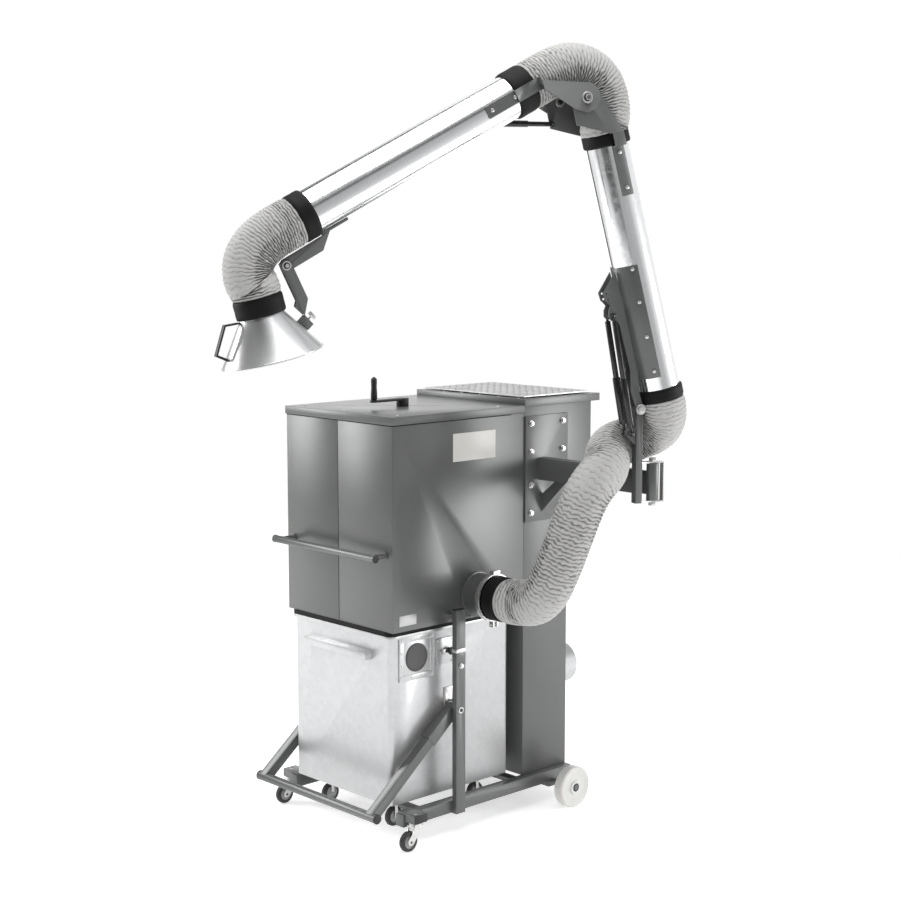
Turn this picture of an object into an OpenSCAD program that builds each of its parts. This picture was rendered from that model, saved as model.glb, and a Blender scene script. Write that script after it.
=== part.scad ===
// Mobile dust extractor with a swivelling suction arm.
// Machine frame while building: X to the machine's right, Y to its rear, Z up,
// zero on the floor under the middle of the housing's front.
// in_place() then shifts everything so that the footprint is centred on the origin.

/* [Housing] */
// Width of the filter housing
housing_w = 600; // [570:10:620]
// Depth of the filter housing from the front to the tower
housing_d = 660; // [640:10:700]
// Height of the housing's underside above the floor
housing_bottom = 787; // [780:1:800]
// Height of the housing's walls
housing_h = 743; // [720:5:780]
// Thickness of all sheet metal walls
sheet_t = 2.5; // [2:0.5:4]
// Height of the lids on the housing and on the tower
lid_t = 29; // [22:1:34]
// How far the lids stand out past the walls
lid_overhang = 4; // [2:1:8]

/* [Tower] */
// Depth of the tower behind the housing
tower_d = 240; // [220:10:260]
// Height of the tower's top above the floor
tower_top = 1552; // [1540:2:1570]
// Depth of the upper rear box
rear_box_d = 132; // [100:4:160]
// Height of the upper rear box
rear_box_h = 452; // [380:4:500]
// Diameter of the outlet spigot
outlet_d = 160; // [120:5:180]
// Length of the outlet spigot
outlet_len = 120; // [80:5:160]
// Sideways place of the outlet
outlet_x = 170; // [150:5:185]
// Height of the outlet
outlet_z = 490; // [420:10:560]

/* [Filter and fan] */
// Outer diameter of the filter cartridge
filter_d = 460; // [400:10:500]
// Inner diameter of the filter cartridge
filter_bore = 340; // [300:10:360]
// Length of the filter cartridge
filter_len = 440; // [380:10:480]
// Number of pleats of the filter
pleat_count = 48; // [24:4:60]
// Outer diameter of the fan casing
scroll_d = 320; // [290:5:330]
// Height of the fan casing
scroll_h = 86; // [76:2:100]
// Diameter of the fan wheel
impeller_d = 270; // [220:5:280]
// Diameter of the motor
motor_d = 150; // [130:5:160]
// Length of the motor
motor_len = 200; // [160:5:205]

/* [Crank] */
// Sideways place of the crank's shaft
crank_x = 10; // [0:2:20]
// Distance of the crank's shaft from the front
crank_y = 306; // [296:2:320]
// Distance from the crank's shaft to its grip
crank_arm = 140; // [110:5:160]
// Diameter of the crank's grip
crank_grip_d = 24; // [20:1:30]
// Length of the crank's grip
crank_grip_len = 82; // [70:2:100]
// Diameter of the crank's shaft
crank_shaft_d = 20; // [16:1:24]

/* [Bin] */
// Width of the dust bin
bin_w = 550; // [520:10:560]
// Depth of the dust bin
bin_d = 598; // [570:2:604]
// Distance from the housing's front to the bin's front
bin_inset = 8; // [6:1:30]
// Height of the bin's underside
bin_bottom = 144; // [128:1:150]
// Height of the seal between the bin and the housing
gasket_h = 16; // [12:1:28]
// Width of the bin's rolled rim
bin_rim = 12; // [8:1:12]
// Height by which the lever lowers the bin
bin_drop = 30; // [20:1:30]
// Length of the handle on the bin's front
bin_handle_len = 352; // [280:4:400]
// Width of the riveted port frame
port_w = 167; // [150:1:180]
// Height of the riveted port frame
port_h = 163; // [150:1:170]
// Diameter of the port's cover
port_cover_d = 105; // [90:1:115]

/* [Base] */
// Distance between the rails' outer faces
base_w = 660; // [650:5:672]
// Width of a rail
rail_w = 40; // [36:1:44]
// Height of a rail
rail_h = 45; // [40:1:46]
// Height of the rails' underside
rail_bottom = 78; // [77:1:80]
// Width of the outriggers over their caps
outrigger_w = 770; // [760:5:790]
// Depth of an outrigger
outrigger_d = 60; // [56:2:70]
// Height of an outrigger
outrigger_h = 30; // [26:1:32]
// Distance between the front castors' swivel axes
castor_span = 724; // [716:2:732]
// Height of a front castor
castor_h = 100; // [98:1:102]
// Diameter of the front castor wheels
castor_wheel_d = 75; // [60:1:76]
// Width of the front castor wheels
castor_wheel_w = 25; // [20:1:28]
// How far a castor's wheel trails its swivel
castor_trail = 35; // [25:1:40]
// Diameter of the rear wheels
rear_wheel_d = 160; // [150:1:166]
// Width of the rear wheels
rear_wheel_w = 40; // [34:1:46]
// Distance between the middles of the rear wheels
rear_track = 860; // [840:5:880]
// Distance of the rear axle from the housing's front
rear_axle_y = 800; // [780:5:820]
// Diameter of the rear axle
rear_axle_d = 20; // [16:1:24]
// Diameter of the bin's wheels
bin_wheel_d = 75; // [60:1:76]
// Distance between the left and right bin wheels
bin_track = 370; // [340:5:400]

/* [Lift lever] */
// Width of a lever post
post_w = 22; // [18:1:24]
// Depth of a lever post
post_d = 45; // [40:1:50]
// Height of the lever posts' top
post_top = 840; // [822:1:846]
// Distance of the lever's pivot from the housing's front
lever_y = 279; // [272:1:286]
// Height of the lever's pivot
lever_z = 468; // [460:2:476]
// Length of the lever's arms from the pivot to the bar
lever_len = 509; // [490:2:515]
// Diameter of the lever's bar
lever_bar_d = 34; // [28:1:36]
// Length of the lever's bar
lever_bar_len = 690; // [680:5:720]
// Thickness of the lever's square arms
lever_arm_t = 36; // [28:1:38]
// Radius of the pin's path that lifts the bin
crank_pin_r = 23.3; // [18:0.1:24]

/* [Inlet] */
// Diameter of the painted inlet stub
inlet_d = 160; // [140:2:160]
// Length of the inlet stub
inlet_len = 85; // [80:1:90]
// Distance of the inlet from the housing's front
inlet_y = 419; // [405:1:430]
// Height of the inlet
inlet_z = 872; // [872:1:890]
// Length of the black inlet cuff
inlet_cuff_len = 60; // [50:1:66]
// Outer diameter of the ribbed hoses
hose_d = 168; // [160:1:170]
// Bore of the ribbed hoses
hose_bore = 146; // [140:1:148]
// Depth of a rib
rib_depth = 5; // [3:0.5:7]

/* [Arm] */
// Diameter of the arm's tubes
tube_d = 150; // [140:1:152]
// Wall of the arm's tubes
tube_t = 1.5; // [1:0.5:3]
// Wall of the black cuffs
cuff_t = 9; // [8:0.5:10]
// Direction of the arm seen from above in degrees
arm_heading = 249; // [245:1:252]
// Height of the arm's main pivot
pivot_z = 1581; // [1575:1:1587]
// Distance of the main pivot in front of the swivel axis
pivot_u = 63; // [60:1:66]
// Length of the lower tube
lower_tube_len = 940; // [920:5:960]
// Length of the upper tube
upper_tube_len = 931; // [910:5:950]
// Half the distance between the two main springs
spring_w = 27; // [27:1:30]
// Diameter of the gas springs' thin part
spring_thin_d = 20; // [18:1:23]
// Diameter of the gas springs' thick part
spring_thick_d = 28; // [26:1:30]

/* [Hood] */
// Diameter of the hood's mouth
hood_mouth_d = 340; // [320:5:350]
// Height of the hood's cone
hood_h = 137; // [120:1:150]
// Thickness of the hood's sheet
hood_t = 2; // [1.5:0.5:3]
// Diameter of the rolled lip of the hood
hood_lip_d = 8; // [6:1:10]
// Width of the hood's strip handle
hood_handle_w = 28; // [22:1:34]

/* [Hidden] */
$fn = 48;
fine = 72;
// Clearances: between bodies, of running fits, and between faces of one body
gap = 0.3;
fit = 0.05;
loose = 1.2;
over = 1;

// Overall places of the machine
housing_top = housing_bottom + housing_h;
tower_front = housing_d;
tower_rear = tower_front + tower_d;
tower_bottom = rail_bottom + rail_h + gap;
tower_h = tower_top - tower_bottom;
side_x = housing_w / 2;
seam_gap = 0.4;

// The footprint's middle, half way between the farthest reaches
arm_reach_out = 549;
arm_reach_back = 95;
swivel_x = side_x + arm_reach_out;
swivel_y = tower_front + arm_reach_back;
axle_beyond = 6;
elbow_plate_reach = 98;
lid_beyond = 48;
reach_left = rear_track / 2 + rear_wheel_w / 2 + axle_beyond;
reach_right = swivel_x + elbow_plate_reach;
reach_front = 735;
reach_rear = tower_rear + rear_box_d + lid_beyond;
origin_x = (reach_right - reach_left) / 2;
origin_y = (reach_rear - reach_front) / 2;

// Lower arm, in the arm's plane: u outward from the swivel axis, z up
lower_foot_u = -30.3;
lower_foot_z = 1616;
lower_tilt = 14.44;
lower_dir = [sin(lower_tilt), cos(lower_tilt)];
lower_foot = [lower_foot_u, lower_foot_z];
lower_head = lower_foot + lower_tube_len * lower_dir;
lower_cuff_foot_len = 45;
lower_cuff_head_len = 30;

// Elbow and upper arm, as steps in the arm's plane
elbow_from_head = [126, 122];
foot_from_elbow = [174, 37];
elbow_at = lower_head + elbow_from_head;
elbow_u = elbow_at[0];
elbow_z = elbow_at[1];
upper_tilt = 118.82;
upper_dir = [sin(upper_tilt), cos(upper_tilt)];
upper_foot = elbow_at + foot_from_elbow;
upper_head = upper_foot + upper_tube_len * upper_dir;
upper_cuff_foot_len = 78;
upper_cuff_head_len = 55;

// Hood, from its pivot
pivot_from_head = [33, -144];
neck_from_pivot = [81, -159];
hood_pivot = upper_head + pivot_from_head;
hood_tilt = 14.5;
hood_dir = [-sin(hood_tilt), -cos(hood_tilt)];
hood_neck = hood_pivot + neck_from_pivot;
hood_neck_len = 62;
tube_r = tube_d / 2;
cuff_r = tube_r + cuff_t;
hose_r = hose_d / 2;

// Spring pins
low_from_pivot = [37, -86];
high_from_pivot = [114, 331];
spring_low = [pivot_u, pivot_z] + low_from_pivot;
spring_high = [pivot_u, pivot_z] + high_from_pivot;
spring_pin_r = 5;
a_from_elbow = [35, -77];
b_from_elbow = [390, -81];
elbow_spring_a = elbow_at + a_from_elbow;
elbow_spring_b = elbow_at + b_from_elbow;

// Colours
grey_paint = [0.42, 0.44, 0.46];
zinc = [0.72, 0.73, 0.72];
bright_steel = [0.8, 0.8, 0.8];
black_plastic = [0.08, 0.08, 0.08];
white_nylon = [0.88, 0.88, 0.84];
hose_grey = [0.6, 0.59, 0.56];
filter_white = [0.85, 0.84, 0.8];

// Ribbed hoses: sides of a rib and points of a bend between two route points
hose_sides = 8;
elbow_ribs = 27;
hood_ribs = 18;
supply_low_ribs = 46;
supply_high_ribs = 20;

// Placing
module in_place() translate([-origin_x, -origin_y, 0]) children();

module arm_frame()
  translate([swivel_x, swivel_y, 0])
    rotate([0, 0, arm_heading])
      children();

module along(at, tilt)
  translate([at[0], 0, at[1]])
    rotate([0, tilt, 0])
      children();

module both_sides() {
  children();
  mirror([1, 0, 0]) children();
}

module both_flanks() {
  children();
  mirror([0, 1, 0]) children();
}

// A box given by its low corner and its size
module box(low, size) translate(low) cube(size);

// A rod along X, Y or Z
module rod_x(d, len) rotate([0, 90, 0]) cylinder(d = d, h = len);
module rod_y(d, len) rotate([-90, 0, 0]) cylinder(d = d, h = len);

// A pipe along Z
module pipe(r, wall, len)
  difference() {
    cylinder(r = r, h = len, $fn = fine);
    translate([0, 0, -over]) cylinder(r = r - wall, h = len + 2 * over, $fn = fine);
  }

// A hexagon bolt head with its washer, standing on Z = 0
module bolt_head(d) {
  cylinder(d = 1.15 * d, h = d / 8);
  cylinder(d = d, h = d / 2, $fn = 6);
}

// A plate in the arm's plane, spread in w between two faces
module flat_plate(points, w_low, t)
  translate([0, w_low + t, 0])
    rotate([90, 0, 0])
      linear_extrude(height = t)
        polygon(points);

// Outlines are given as shares of one length about a pivot
function outline(shares, len, at) = [for (s = shares) at + len * s];

// Ribbed hose: rings of a crest and a valley for each rib, and a plain bore
function unit(v) = v / norm(v);

function spline_point(p0, p1, p2, p3, t) =
  (pow(1 - t, 3) * p0 + (3 * pow(t, 3) - 6 * t * t + 4) * p1
    + (-3 * pow(t, 3) + 3 * t * t + 3 * t + 1) * p2 + pow(t, 3) * p3) / 6;

function with_ends(route) =
  let (n = len(route))
  concat([2 * route[0] - route[1]], route, [2 * route[n - 1] - route[n - 2]]);

// Point and tangent at a share s of the whole route
function route_at(padded, s) =
  let (spans = len(padded) - 3)
  let (i = min(spans - 1, floor(s * spans)))
  spline_point(padded[i], padded[i + 1], padded[i + 2], padded[i + 3], s * spans - i);

function ring(at, dir, side, r) =
  let (n = unit(cross(dir, side)))
  let (b = unit(cross(dir, n)))
  [for (k = [0 : hose_sides - 1])
    at + r * (cos(360 * k / hose_sides) * n + sin(360 * k / hose_sides) * b)];

function quad(a, b, c, d) = [[a, b, c], [a, c, d]];

// Triangles between two stacks of rings, first to last
function skin(first, rings, flip) =
  [for (i = [0 : rings - 2]) for (k = [0 : hose_sides - 1])
    let (m = (k + 1) % hose_sides)
    let (a = first + i * hose_sides + k)
    let (b = first + i * hose_sides + m)
    let (c = b + hose_sides)
    let (d = a + hose_sides)
    for (f = flip ? quad(a, d, c, b) : quad(a, b, c, d)) f];

// The flat end between an outer ring and an inner ring
function rim(outer, inner, flip) =
  [for (k = [0 : hose_sides - 1])
    let (m = (k + 1) % hose_sides)
    for (f = flip
      ? quad(outer + k, inner + k, inner + m, outer + m)
      : quad(outer + k, outer + m, inner + m, inner + k)) f];

module ribbed_hose(route, from_share, to_share, ribs, side) {
  padded = with_ends(route);
  steps = 2 * ribs;
  span = to_share - from_share;
  shares = [for (i = [0 : steps]) from_share + span * i / steps];
  tiny_share = 0.001;
  lines = [for (s = shares)
    route_at(padded, min(1, s + tiny_share)) - route_at(padded, max(0, s - tiny_share))];
  outer_r = [for (i = [0 : steps]) i % 2 == 0 ? hose_r - rib_depth : hose_r];
  outer = [for (i = [0 : steps])
    for (p = ring(route_at(padded, shares[i]), lines[i], side, outer_r[i])) p];
  inner = [for (i = [0 : 2 : steps])
    for (p = ring(route_at(padded, shares[i]), lines[i], side, hose_bore / 2)) p];
  first_inner = (steps + 1) * hose_sides;
  last_outer = steps * hose_sides;
  last_inner = first_inner + ribs * hose_sides;
  faces = concat(
    skin(0, steps + 1, true),
    skin(first_inner, ribs + 1, false),
    rim(0, first_inner, false),
    rim(last_outer, last_inner, true));
  polyhedron(points = concat(outer, inner), faces = faces);
}

// Base
rail_in = base_w / 2 - rail_w;
outrigger_y = 58;
outrigger_bottom = castor_h;
cap_t = 4;
post_x = 335;
rail_front_y = 20;
cross_t = 40;
cross_h = 16;
cross_front_y = 150;
axle_z = rear_wheel_d / 2;
axle_block = 44;
axle_spare = 8;
axle_len = rear_track + rear_wheel_w + axle_spare;
pivot_bolt_d = 14;
spacer_h = 34;
spacer_d = 16;
post_screw_down = 207;
castor_y = 50;
castor_pin_d = 12;

module chassis_frame() color(grey_paint) {
  both_sides() {
    // Rails
    box([rail_in, rail_front_y, rail_bottom], [rail_w, tower_rear - rail_front_y, rail_h]);
    // Post, bored for the lever's pivot
    difference() {
      box([post_x, lever_y - post_d / 2, rail_bottom], [post_w, post_d, post_top - rail_bottom]);
      translate([post_x - over, lever_y, lever_z])
        rod_x(pivot_bolt_d + 2 * fit, post_w + 2 * over);
    }
    // Its foot on the rail, and its spacer to the housing
    box([base_w / 2, lever_y - post_d / 2, rail_bottom], [post_x - base_w / 2, post_d, rail_h]);
    translate([side_x + gap, lever_y, post_top - spacer_h / 2])
      rod_x(spacer_d, post_x - side_x - gap);
    // Axle block under the rail
    box(
      [rail_in, rear_axle_y - axle_block / 2, axle_z - axle_block / 2],
      [rail_w, axle_block, rail_bottom - axle_z + axle_block / 2]);
  }
  // Outriggers of the front castors
  difference() {
    box(
      [-outrigger_w / 2 + cap_t, outrigger_y - outrigger_d / 2, outrigger_bottom],
      [outrigger_w - 2 * cap_t, outrigger_d, outrigger_h]);
    box(
      [-rail_in, outrigger_y - outrigger_d, outrigger_bottom - over],
      [2 * rail_in, 2 * outrigger_d, outrigger_h + 2 * over]);
    both_sides()
      translate([castor_span / 2, castor_y, outrigger_bottom - over])
        cylinder(d = castor_pin_d + 2 * fit, h = outrigger_h + 2 * over);
  }
  // Low cross members under the bin and the tower, and the full one at the back
  for (y = [cross_front_y, tower_front])
    box([-rail_in, y, rail_bottom], [2 * rail_in, cross_t, cross_h]);
  box([-rail_in, tower_rear - cross_t, rail_bottom], [2 * rail_in, cross_t, rail_h]);
  // Rear axle
  translate([-axle_len / 2, rear_axle_y, axle_z]) rod_x(rear_axle_d, axle_len);
}

module frame_caps() color(black_plastic)
  both_sides()
    box(
      [outrigger_w / 2 - cap_t, outrigger_y - outrigger_d / 2, outrigger_bottom],
      [cap_t, outrigger_d, outrigger_h]);

// Front castors
fork_t = 3;
side_play = 2;
fork_in = castor_wheel_w + 2 * side_play;
fork_plate = 48;
fork_race_h = 10;
wheel_axle_d = 10;
axle_end = 3;
castor_hub_d = 24;
fork_top = outrigger_bottom - gap;

module castor_fork(side) color(zinc)
  translate([side * castor_span / 2, castor_y, 0])
    difference() {
      union() {
        // Swivel pin in the outrigger, its race and the crown
        translate([0, 0, fork_top - over]) cylinder(d = castor_pin_d, h = outrigger_h + over);
        translate([0, 0, fork_top - fork_race_h]) cylinder(d = fork_plate, h = fork_race_h);
        box(
          [-fork_in / 2 - fork_t, -fork_plate / 2, fork_top - fork_race_h - fork_t],
          [fork_in + 2 * fork_t, fork_plate, fork_t + over]);
        // Cheeks down to the wheel's axle
        for (x = [-fork_in / 2 - fork_t, fork_in / 2])
          mirror([0, 1, 0])
            translate([x, 0, 0])
              rotate([90, 0, 90])
                linear_extrude(height = fork_t)
                  polygon(outline(cheek_shares, castor_wheel_d, [0, 0]));
      }
      translate([-fork_in, -castor_trail, castor_wheel_d / 2])
        rod_x(wheel_axle_d + 2 * fit, 2 * fork_in);
    }

// Outline of a fork's cheek in shares of the wheel's diameter: trail and height
cheek_shares = [
  [-0.3, 1.18], [0.3, 1.18], [0.3, 1], [0.66, 0.6], [0.64, 0.4], [0.5, 0.34], [0.34, 0.38]
];

module wheel(d, w, hub_d, hub_w, axle_d, bore_d)
  rotate([0, 90, 0]) {
    difference() {
      union() {
        rotate_extrude($fn = fine)
          translate([0, -w / 2])
            wheel_section(d / 2, w);
        cylinder(d = hub_d, h = hub_w, center = true);
      }
      if (bore_d > 0)
        cylinder(d = bore_d, h = hub_w + w, center = true);
    }
    if (axle_d > 0)
      cylinder(d = axle_d, h = fork_in + 2 * (fork_t + axle_end), center = true);
  }

module wheel_section(r, w) {
  round_r = w / 5;
  square([r - round_r, w]);
  translate([0, round_r]) square([r, w - 2 * round_r]);
  for (z = [round_r, w - round_r])
    translate([r - round_r, z]) circle(r = round_r);
}

module castor_wheel(side) color(black_plastic)
  translate([side * castor_span / 2, castor_y - castor_trail, castor_wheel_d / 2])
    wheel(castor_wheel_d, castor_wheel_w, castor_hub_d, fork_in - over, wheel_axle_d, 0);

module castor_fork_left() castor_fork(-1);
module castor_fork_right() castor_fork(1);
module castor_wheel_left() castor_wheel(-1);
module castor_wheel_right() castor_wheel(1);

// Rear wheels
rear_hub_d = 52;
rear_hub_out = 3;

module rear_wheel(side) color(white_nylon)
  translate([side * rear_track / 2, rear_axle_y, axle_z])
    wheel(rear_wheel_d, rear_wheel_w, rear_hub_d, rear_wheel_w + 2 * rear_hub_out, 0, rear_axle_d + 2 * fit);

module rear_wheel_left() rear_wheel(-1);
module rear_wheel_right() rear_wheel(1);

// Bin: a tapered sheet tub with a rolled rim, open at the top
bin_top = housing_bottom - gasket_h - gap;
bin_rear = bin_inset + bin_d;
bin_corner = 20;

module round_plan(x, y, w, d, r) {
  translate([x + r, y]) square([w - 2 * r, d]);
  translate([x, y + r]) square([w, d - 2 * r]);
  for (cx = [x + r, x + w - r])
    for (cy = [y + r, y + d - r])
      translate([cx, cy]) circle(r = r, $fn = 32);
}

module bin_plan(grow)
  round_plan(
    -bin_w / 2 - grow, bin_inset - grow, bin_w + 2 * grow, bin_d + 2 * grow,
    bin_corner + grow);

module bin_tub() color(zinc) {
  difference() {
    union() {
      translate([0, 0, bin_bottom])
        linear_extrude(height = bin_top - bin_bottom) bin_plan(0);
      translate([0, 0, bin_top - bin_rim])
        linear_extrude(height = bin_rim) bin_plan(bin_rim);
    }
    translate([0, 0, bin_bottom + sheet_t])
      linear_extrude(height = bin_top - bin_bottom) bin_plan(-sheet_t);
    // Hole behind the port
    translate([bin_w / 2 - 2 * sheet_t, port_mid_y, port_mid_z])
      rod_x(port_hole_d, 4 * sheet_t);
  }
  // Folded handle strip on the front
  difference() {
    box(
      [-bin_handle_len / 2, bin_inset - handle_out, handle_z],
      [bin_handle_len, handle_out + over, handle_h]);
    box(
      [-bin_handle_len / 2 + sheet_t, bin_inset - handle_out + sheet_t, handle_z - over],
      [bin_handle_len - 2 * sheet_t, handle_out + over, handle_h - sheet_t + over]);
  }
}

handle_out = 34;
handle_h = 30;
handle_down = 98;
port_down = bin_rim + port_h / 2 + gap;
handle_z = bin_top - handle_down;
port_from_front = 41;
port_mid_y = bin_inset + port_w / 2 + port_from_front;
port_mid_z = bin_top - port_down;
port_hole_d = 96;
port_frame_t = 4;
port_border = 22;
rivet_d = 7;
rivet_h = 2;
plate_gap = 12;
side_plate_w = 86;
side_plate_h = 98;
toggle_d = 22;
toggle_out = 22;
cover_out = 14;
toggle_plate = 4;
rivet_pitch_share = 0.24;

// Riveted frame with its round cover, the small plate and the toggle beside it
module port_frame() translate([bin_w / 2, port_mid_y, port_mid_z]) {
  color(zinc) difference() {
    union() {
      box([0, -port_w / 2, -port_h / 2], [port_frame_t, port_w, port_h]);
      box(
        [0, port_w / 2, -side_plate_h / 2],
        [port_frame_t, plate_gap + side_plate_w, side_plate_h]);
      for (s = [-1, 1])
        for (k = [-1.5 : 1 : 1.5]) {
          translate([port_frame_t - over, k * port_w * rivet_pitch_share, s * (port_h - port_border / 2) / 2])
            rod_x(rivet_d, rivet_h + over);
          translate([port_frame_t - over, s * (port_w - port_border / 2) / 2, k * port_h * rivet_pitch_share])
            rod_x(rivet_d, rivet_h + over);
        }
    }
    translate([-over, 0, 0]) rod_x(port_hole_d, port_frame_t + 2 * over);
  }
  color(black_plastic) {
    rod_x(port_cover_d, cover_out);
    translate([0, port_w / 2 + plate_gap + side_plate_w - toggle_d, 0]) {
      rod_x(toggle_d, toggle_out);
      box(
        [toggle_out - toggle_plate, -toggle_d / 2, -toggle_d],
        [toggle_plate, toggle_d, 2 * toggle_d]);
    }
  }
}

// Plates on the bin's sides with a level slot for the lever's pin
lift_plate_t = 5;
lift_plate_h = 110;
lift_pin_d = 12;
pin_rest_angle = 40;
lift_pin_y = lever_y + crank_pin_r * cos(pin_rest_angle);
lift_pin_z = lever_z + crank_pin_r * sin(pin_rest_angle);
slot_front_y = lift_pin_y - lift_pin_d / 2 - 2 * loose;
slot_rear_y = lever_y + crank_pin_r + lift_pin_d / 2 + 2 * loose;
lift_plate_edge = 20;
lift_plate_w = slot_rear_y - slot_front_y + 2 * lift_plate_edge;

module bin_lift_plates() color(bright_steel)
  both_sides()
    difference() {
      box(
        [bin_w / 2, slot_front_y - lift_plate_edge, lift_pin_z - lift_plate_h / 2],
        [lift_plate_t, lift_plate_w, lift_plate_h]);
      box(
        [bin_w / 2 - over, slot_front_y, lift_pin_z - lift_pin_d / 2 - loose],
        [lift_plate_t + 2 * over, slot_rear_y - slot_front_y, lift_pin_d + 2 * loose]);
    }

// Bin forks and wheels, fixed so that the bin rolls out along Y
bin_wheel_w = 24;
bin_fork_in = bin_wheel_w + 2 * side_play;
bin_fork_t = 3;
bin_wheel_z = bin_drop + bin_wheel_d / 2;
bin_wheel_from_edge = 92;
bin_wheel_ys = [bin_inset + bin_wheel_from_edge, bin_rear - bin_wheel_from_edge];
bin_axle_d = 8;
bin_boss_d = 13;
bin_fork_w = 40;

module bin_forks() color(zinc)
  for (y = bin_wheel_ys)
    both_sides()
      translate([bin_track / 2, y, 0])
        difference() {
          union() {
            box(
              [-bin_fork_in / 2 - bin_fork_t, -bin_fork_w / 2, bin_bottom - bin_fork_t],
              [bin_fork_in + 2 * bin_fork_t, bin_fork_w, bin_fork_t]);
            for (s = [-1, 1])
              translate([s * (bin_fork_in + bin_fork_t) / 2 - bin_fork_t / 2, 0, 0]) {
                translate([0, 0, bin_wheel_z]) rod_x(bin_boss_d, bin_fork_t);
                box(
                  [0, -bin_boss_d / 2, bin_wheel_z],
                  [bin_fork_t, bin_boss_d, bin_bottom - bin_wheel_z - bin_fork_t / 2]);
              }
          }
          translate([-bin_fork_in, 0, bin_wheel_z]) rod_x(bin_axle_d + 2 * fit, 2 * bin_fork_in);
        }

module bin_wheel_pair(y) color(black_plastic)
  both_sides()
    translate([bin_track / 2, y, bin_wheel_z])
      rotate([0, 90, 0]) {
        rotate_extrude($fn = fine)
          translate([0, -bin_wheel_w / 2])
            wheel_section(bin_wheel_d / 2, bin_wheel_w);
        cylinder(d = bin_axle_d, h = bin_fork_in + 2 * (bin_fork_t + axle_end), center = true);
      }

module bin_wheels_front() bin_wheel_pair(bin_wheel_ys[0]);
module bin_wheels_rear() bin_wheel_pair(bin_wheel_ys[1]);

// Seal fixed under the housing
module bin_gasket() color(black_plastic)
  translate([0, 0, housing_bottom - gasket_h])
    linear_extrude(height = gasket_h)
      difference() {
        bin_plan(bin_rim - over);
        bin_plan(-gasket_in);
      }
gasket_in = 14;

// Lever: a U from the bar in front up to the pivots on the posts
lever_angle = 39.4;
lever_side_gap = 6;
lever_arm_x = post_x - lever_side_gap - lever_arm_t / 2;
sleeve_grow = 5;
sleeve_from_share = 0.69;
sleeve_to_share = 0.953;
lever_hub_d = 44;
lever_pin_end = 4;
bar_cap_wall = 1;
lever_cap_t = 5;

module lift_lever() translate([0, lever_y, lever_z])
  rotate([lever_angle, 0, 0]) {
    // The bar lies lever_len in front of the pivot
    color(bright_steel) {
      translate([-lever_bar_len / 2 + lever_cap_t, -lever_len, 0])
        rod_x(lever_bar_d, lever_bar_len - 2 * lever_cap_t);
      both_sides() {
        box(
          [lever_arm_x - lever_arm_t / 2, -lever_len, -lever_arm_t / 2],
          [lever_arm_t, lever_len, lever_arm_t]);
        box(
          [
            lever_arm_x - lever_arm_t / 2 - sleeve_grow / 2,
            -lever_len * (1 - sleeve_from_share),
            -lever_arm_t / 2 - sleeve_grow
          ],
          [
            lever_arm_t + sleeve_grow,
            lever_len * (sleeve_to_share - sleeve_from_share),
            lever_arm_t + 2 * sleeve_grow
          ]);
        translate([lever_arm_x - lever_arm_t / 2, 0, 0]) rod_x(lever_hub_d, lever_arm_t);
        // Pivot pin into the post
        translate([lever_arm_x, 0, 0]) rod_x(pivot_bolt_d, post_x - lever_arm_x + post_w + lever_pin_end);
        // Lifting pin towards the bin
        rotate([pin_rest_angle - lever_angle, 0, 0])
          translate([bin_w / 2 + over, crank_pin_r, 0])
            rod_x(lift_pin_d, lever_arm_x - bin_w / 2);
      }
    }
    color(black_plastic)
      both_sides()
        translate([lever_bar_len / 2 - lever_cap_t, -lever_len, 0])
          rod_x(lever_bar_d + 2 * bar_cap_wall, lever_cap_t);
  }

// Housing: two folded panels that meet in the front seam
inlet_hole_d = inlet_d - 2 * sheet_t;

module housing_half(side) color(grey_paint)
  difference() {
    box(
      [side > 0 ? seam_gap / 2 : -side_x, 0, housing_bottom],
      [side_x - seam_gap / 2, housing_d - gap, housing_h]);
    box(
      [
        side > 0 ? -over : -side_x + sheet_t,
        sheet_t,
        housing_bottom + sheet_t
      ],
      [side_x - sheet_t + over, housing_d, housing_h]);
    // Opening in the floor over the bin
    translate([0, 0, housing_bottom - over])
      linear_extrude(height = sheet_t + 2 * over)
        bin_plan(-gasket_in);
    if (side > 0)
      translate([side_x - 2 * sheet_t, inlet_y, inlet_z]) rod_x(inlet_hole_d, 4 * sheet_t);
  }

module housing_left() housing_half(-1);
module housing_right() housing_half(1);

lid_wall = lid_overhang + sheet_t + 2 * gap;

module lid(x, y, w, d, z, hole_x, hole_y, hole_d)
  difference() {
    box([x, y, z], [w, d, lid_t]);
    box(
      [x + lid_wall, y + lid_wall, z - over],
      [w - 2 * lid_wall, d - 2 * lid_wall, lid_t - sheet_t + over]);
    if (hole_d > 0)
      translate([hole_x, hole_y, z]) cylinder(d = hole_d, h = 2 * lid_t);
  }

module housing_lid() color(grey_paint)
  lid(
    -side_x - lid_overhang - gap, -lid_overhang - gap,
    housing_w + 2 * lid_overhang + 2 * gap, housing_d + lid_overhang - gap,
    housing_top + gap, crank_x, crank_y, crank_shaft_d + 2 * fit);
lid_rise = lid_t + gap;

// Filter, its sheet and the cleaning blades
clean_air_h = 120;
tube_sheet_z = housing_top - clean_air_h;
filter_top = tube_sheet_z - gap;
filter_bottom = filter_top - filter_len;

module tube_sheet() color(bright_steel)
  difference() {
    box(
      [-side_x + sheet_t + gap, sheet_t + gap, tube_sheet_z],
      [housing_w - 2 * sheet_t - 2 * gap, housing_d - 2 * sheet_t - 2 * gap, sheet_t]);
    translate([crank_x, crank_y, tube_sheet_z - over])
      cylinder(d = filter_bore - 2 * filter_seal, h = sheet_t + 2 * over);
  }

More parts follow.
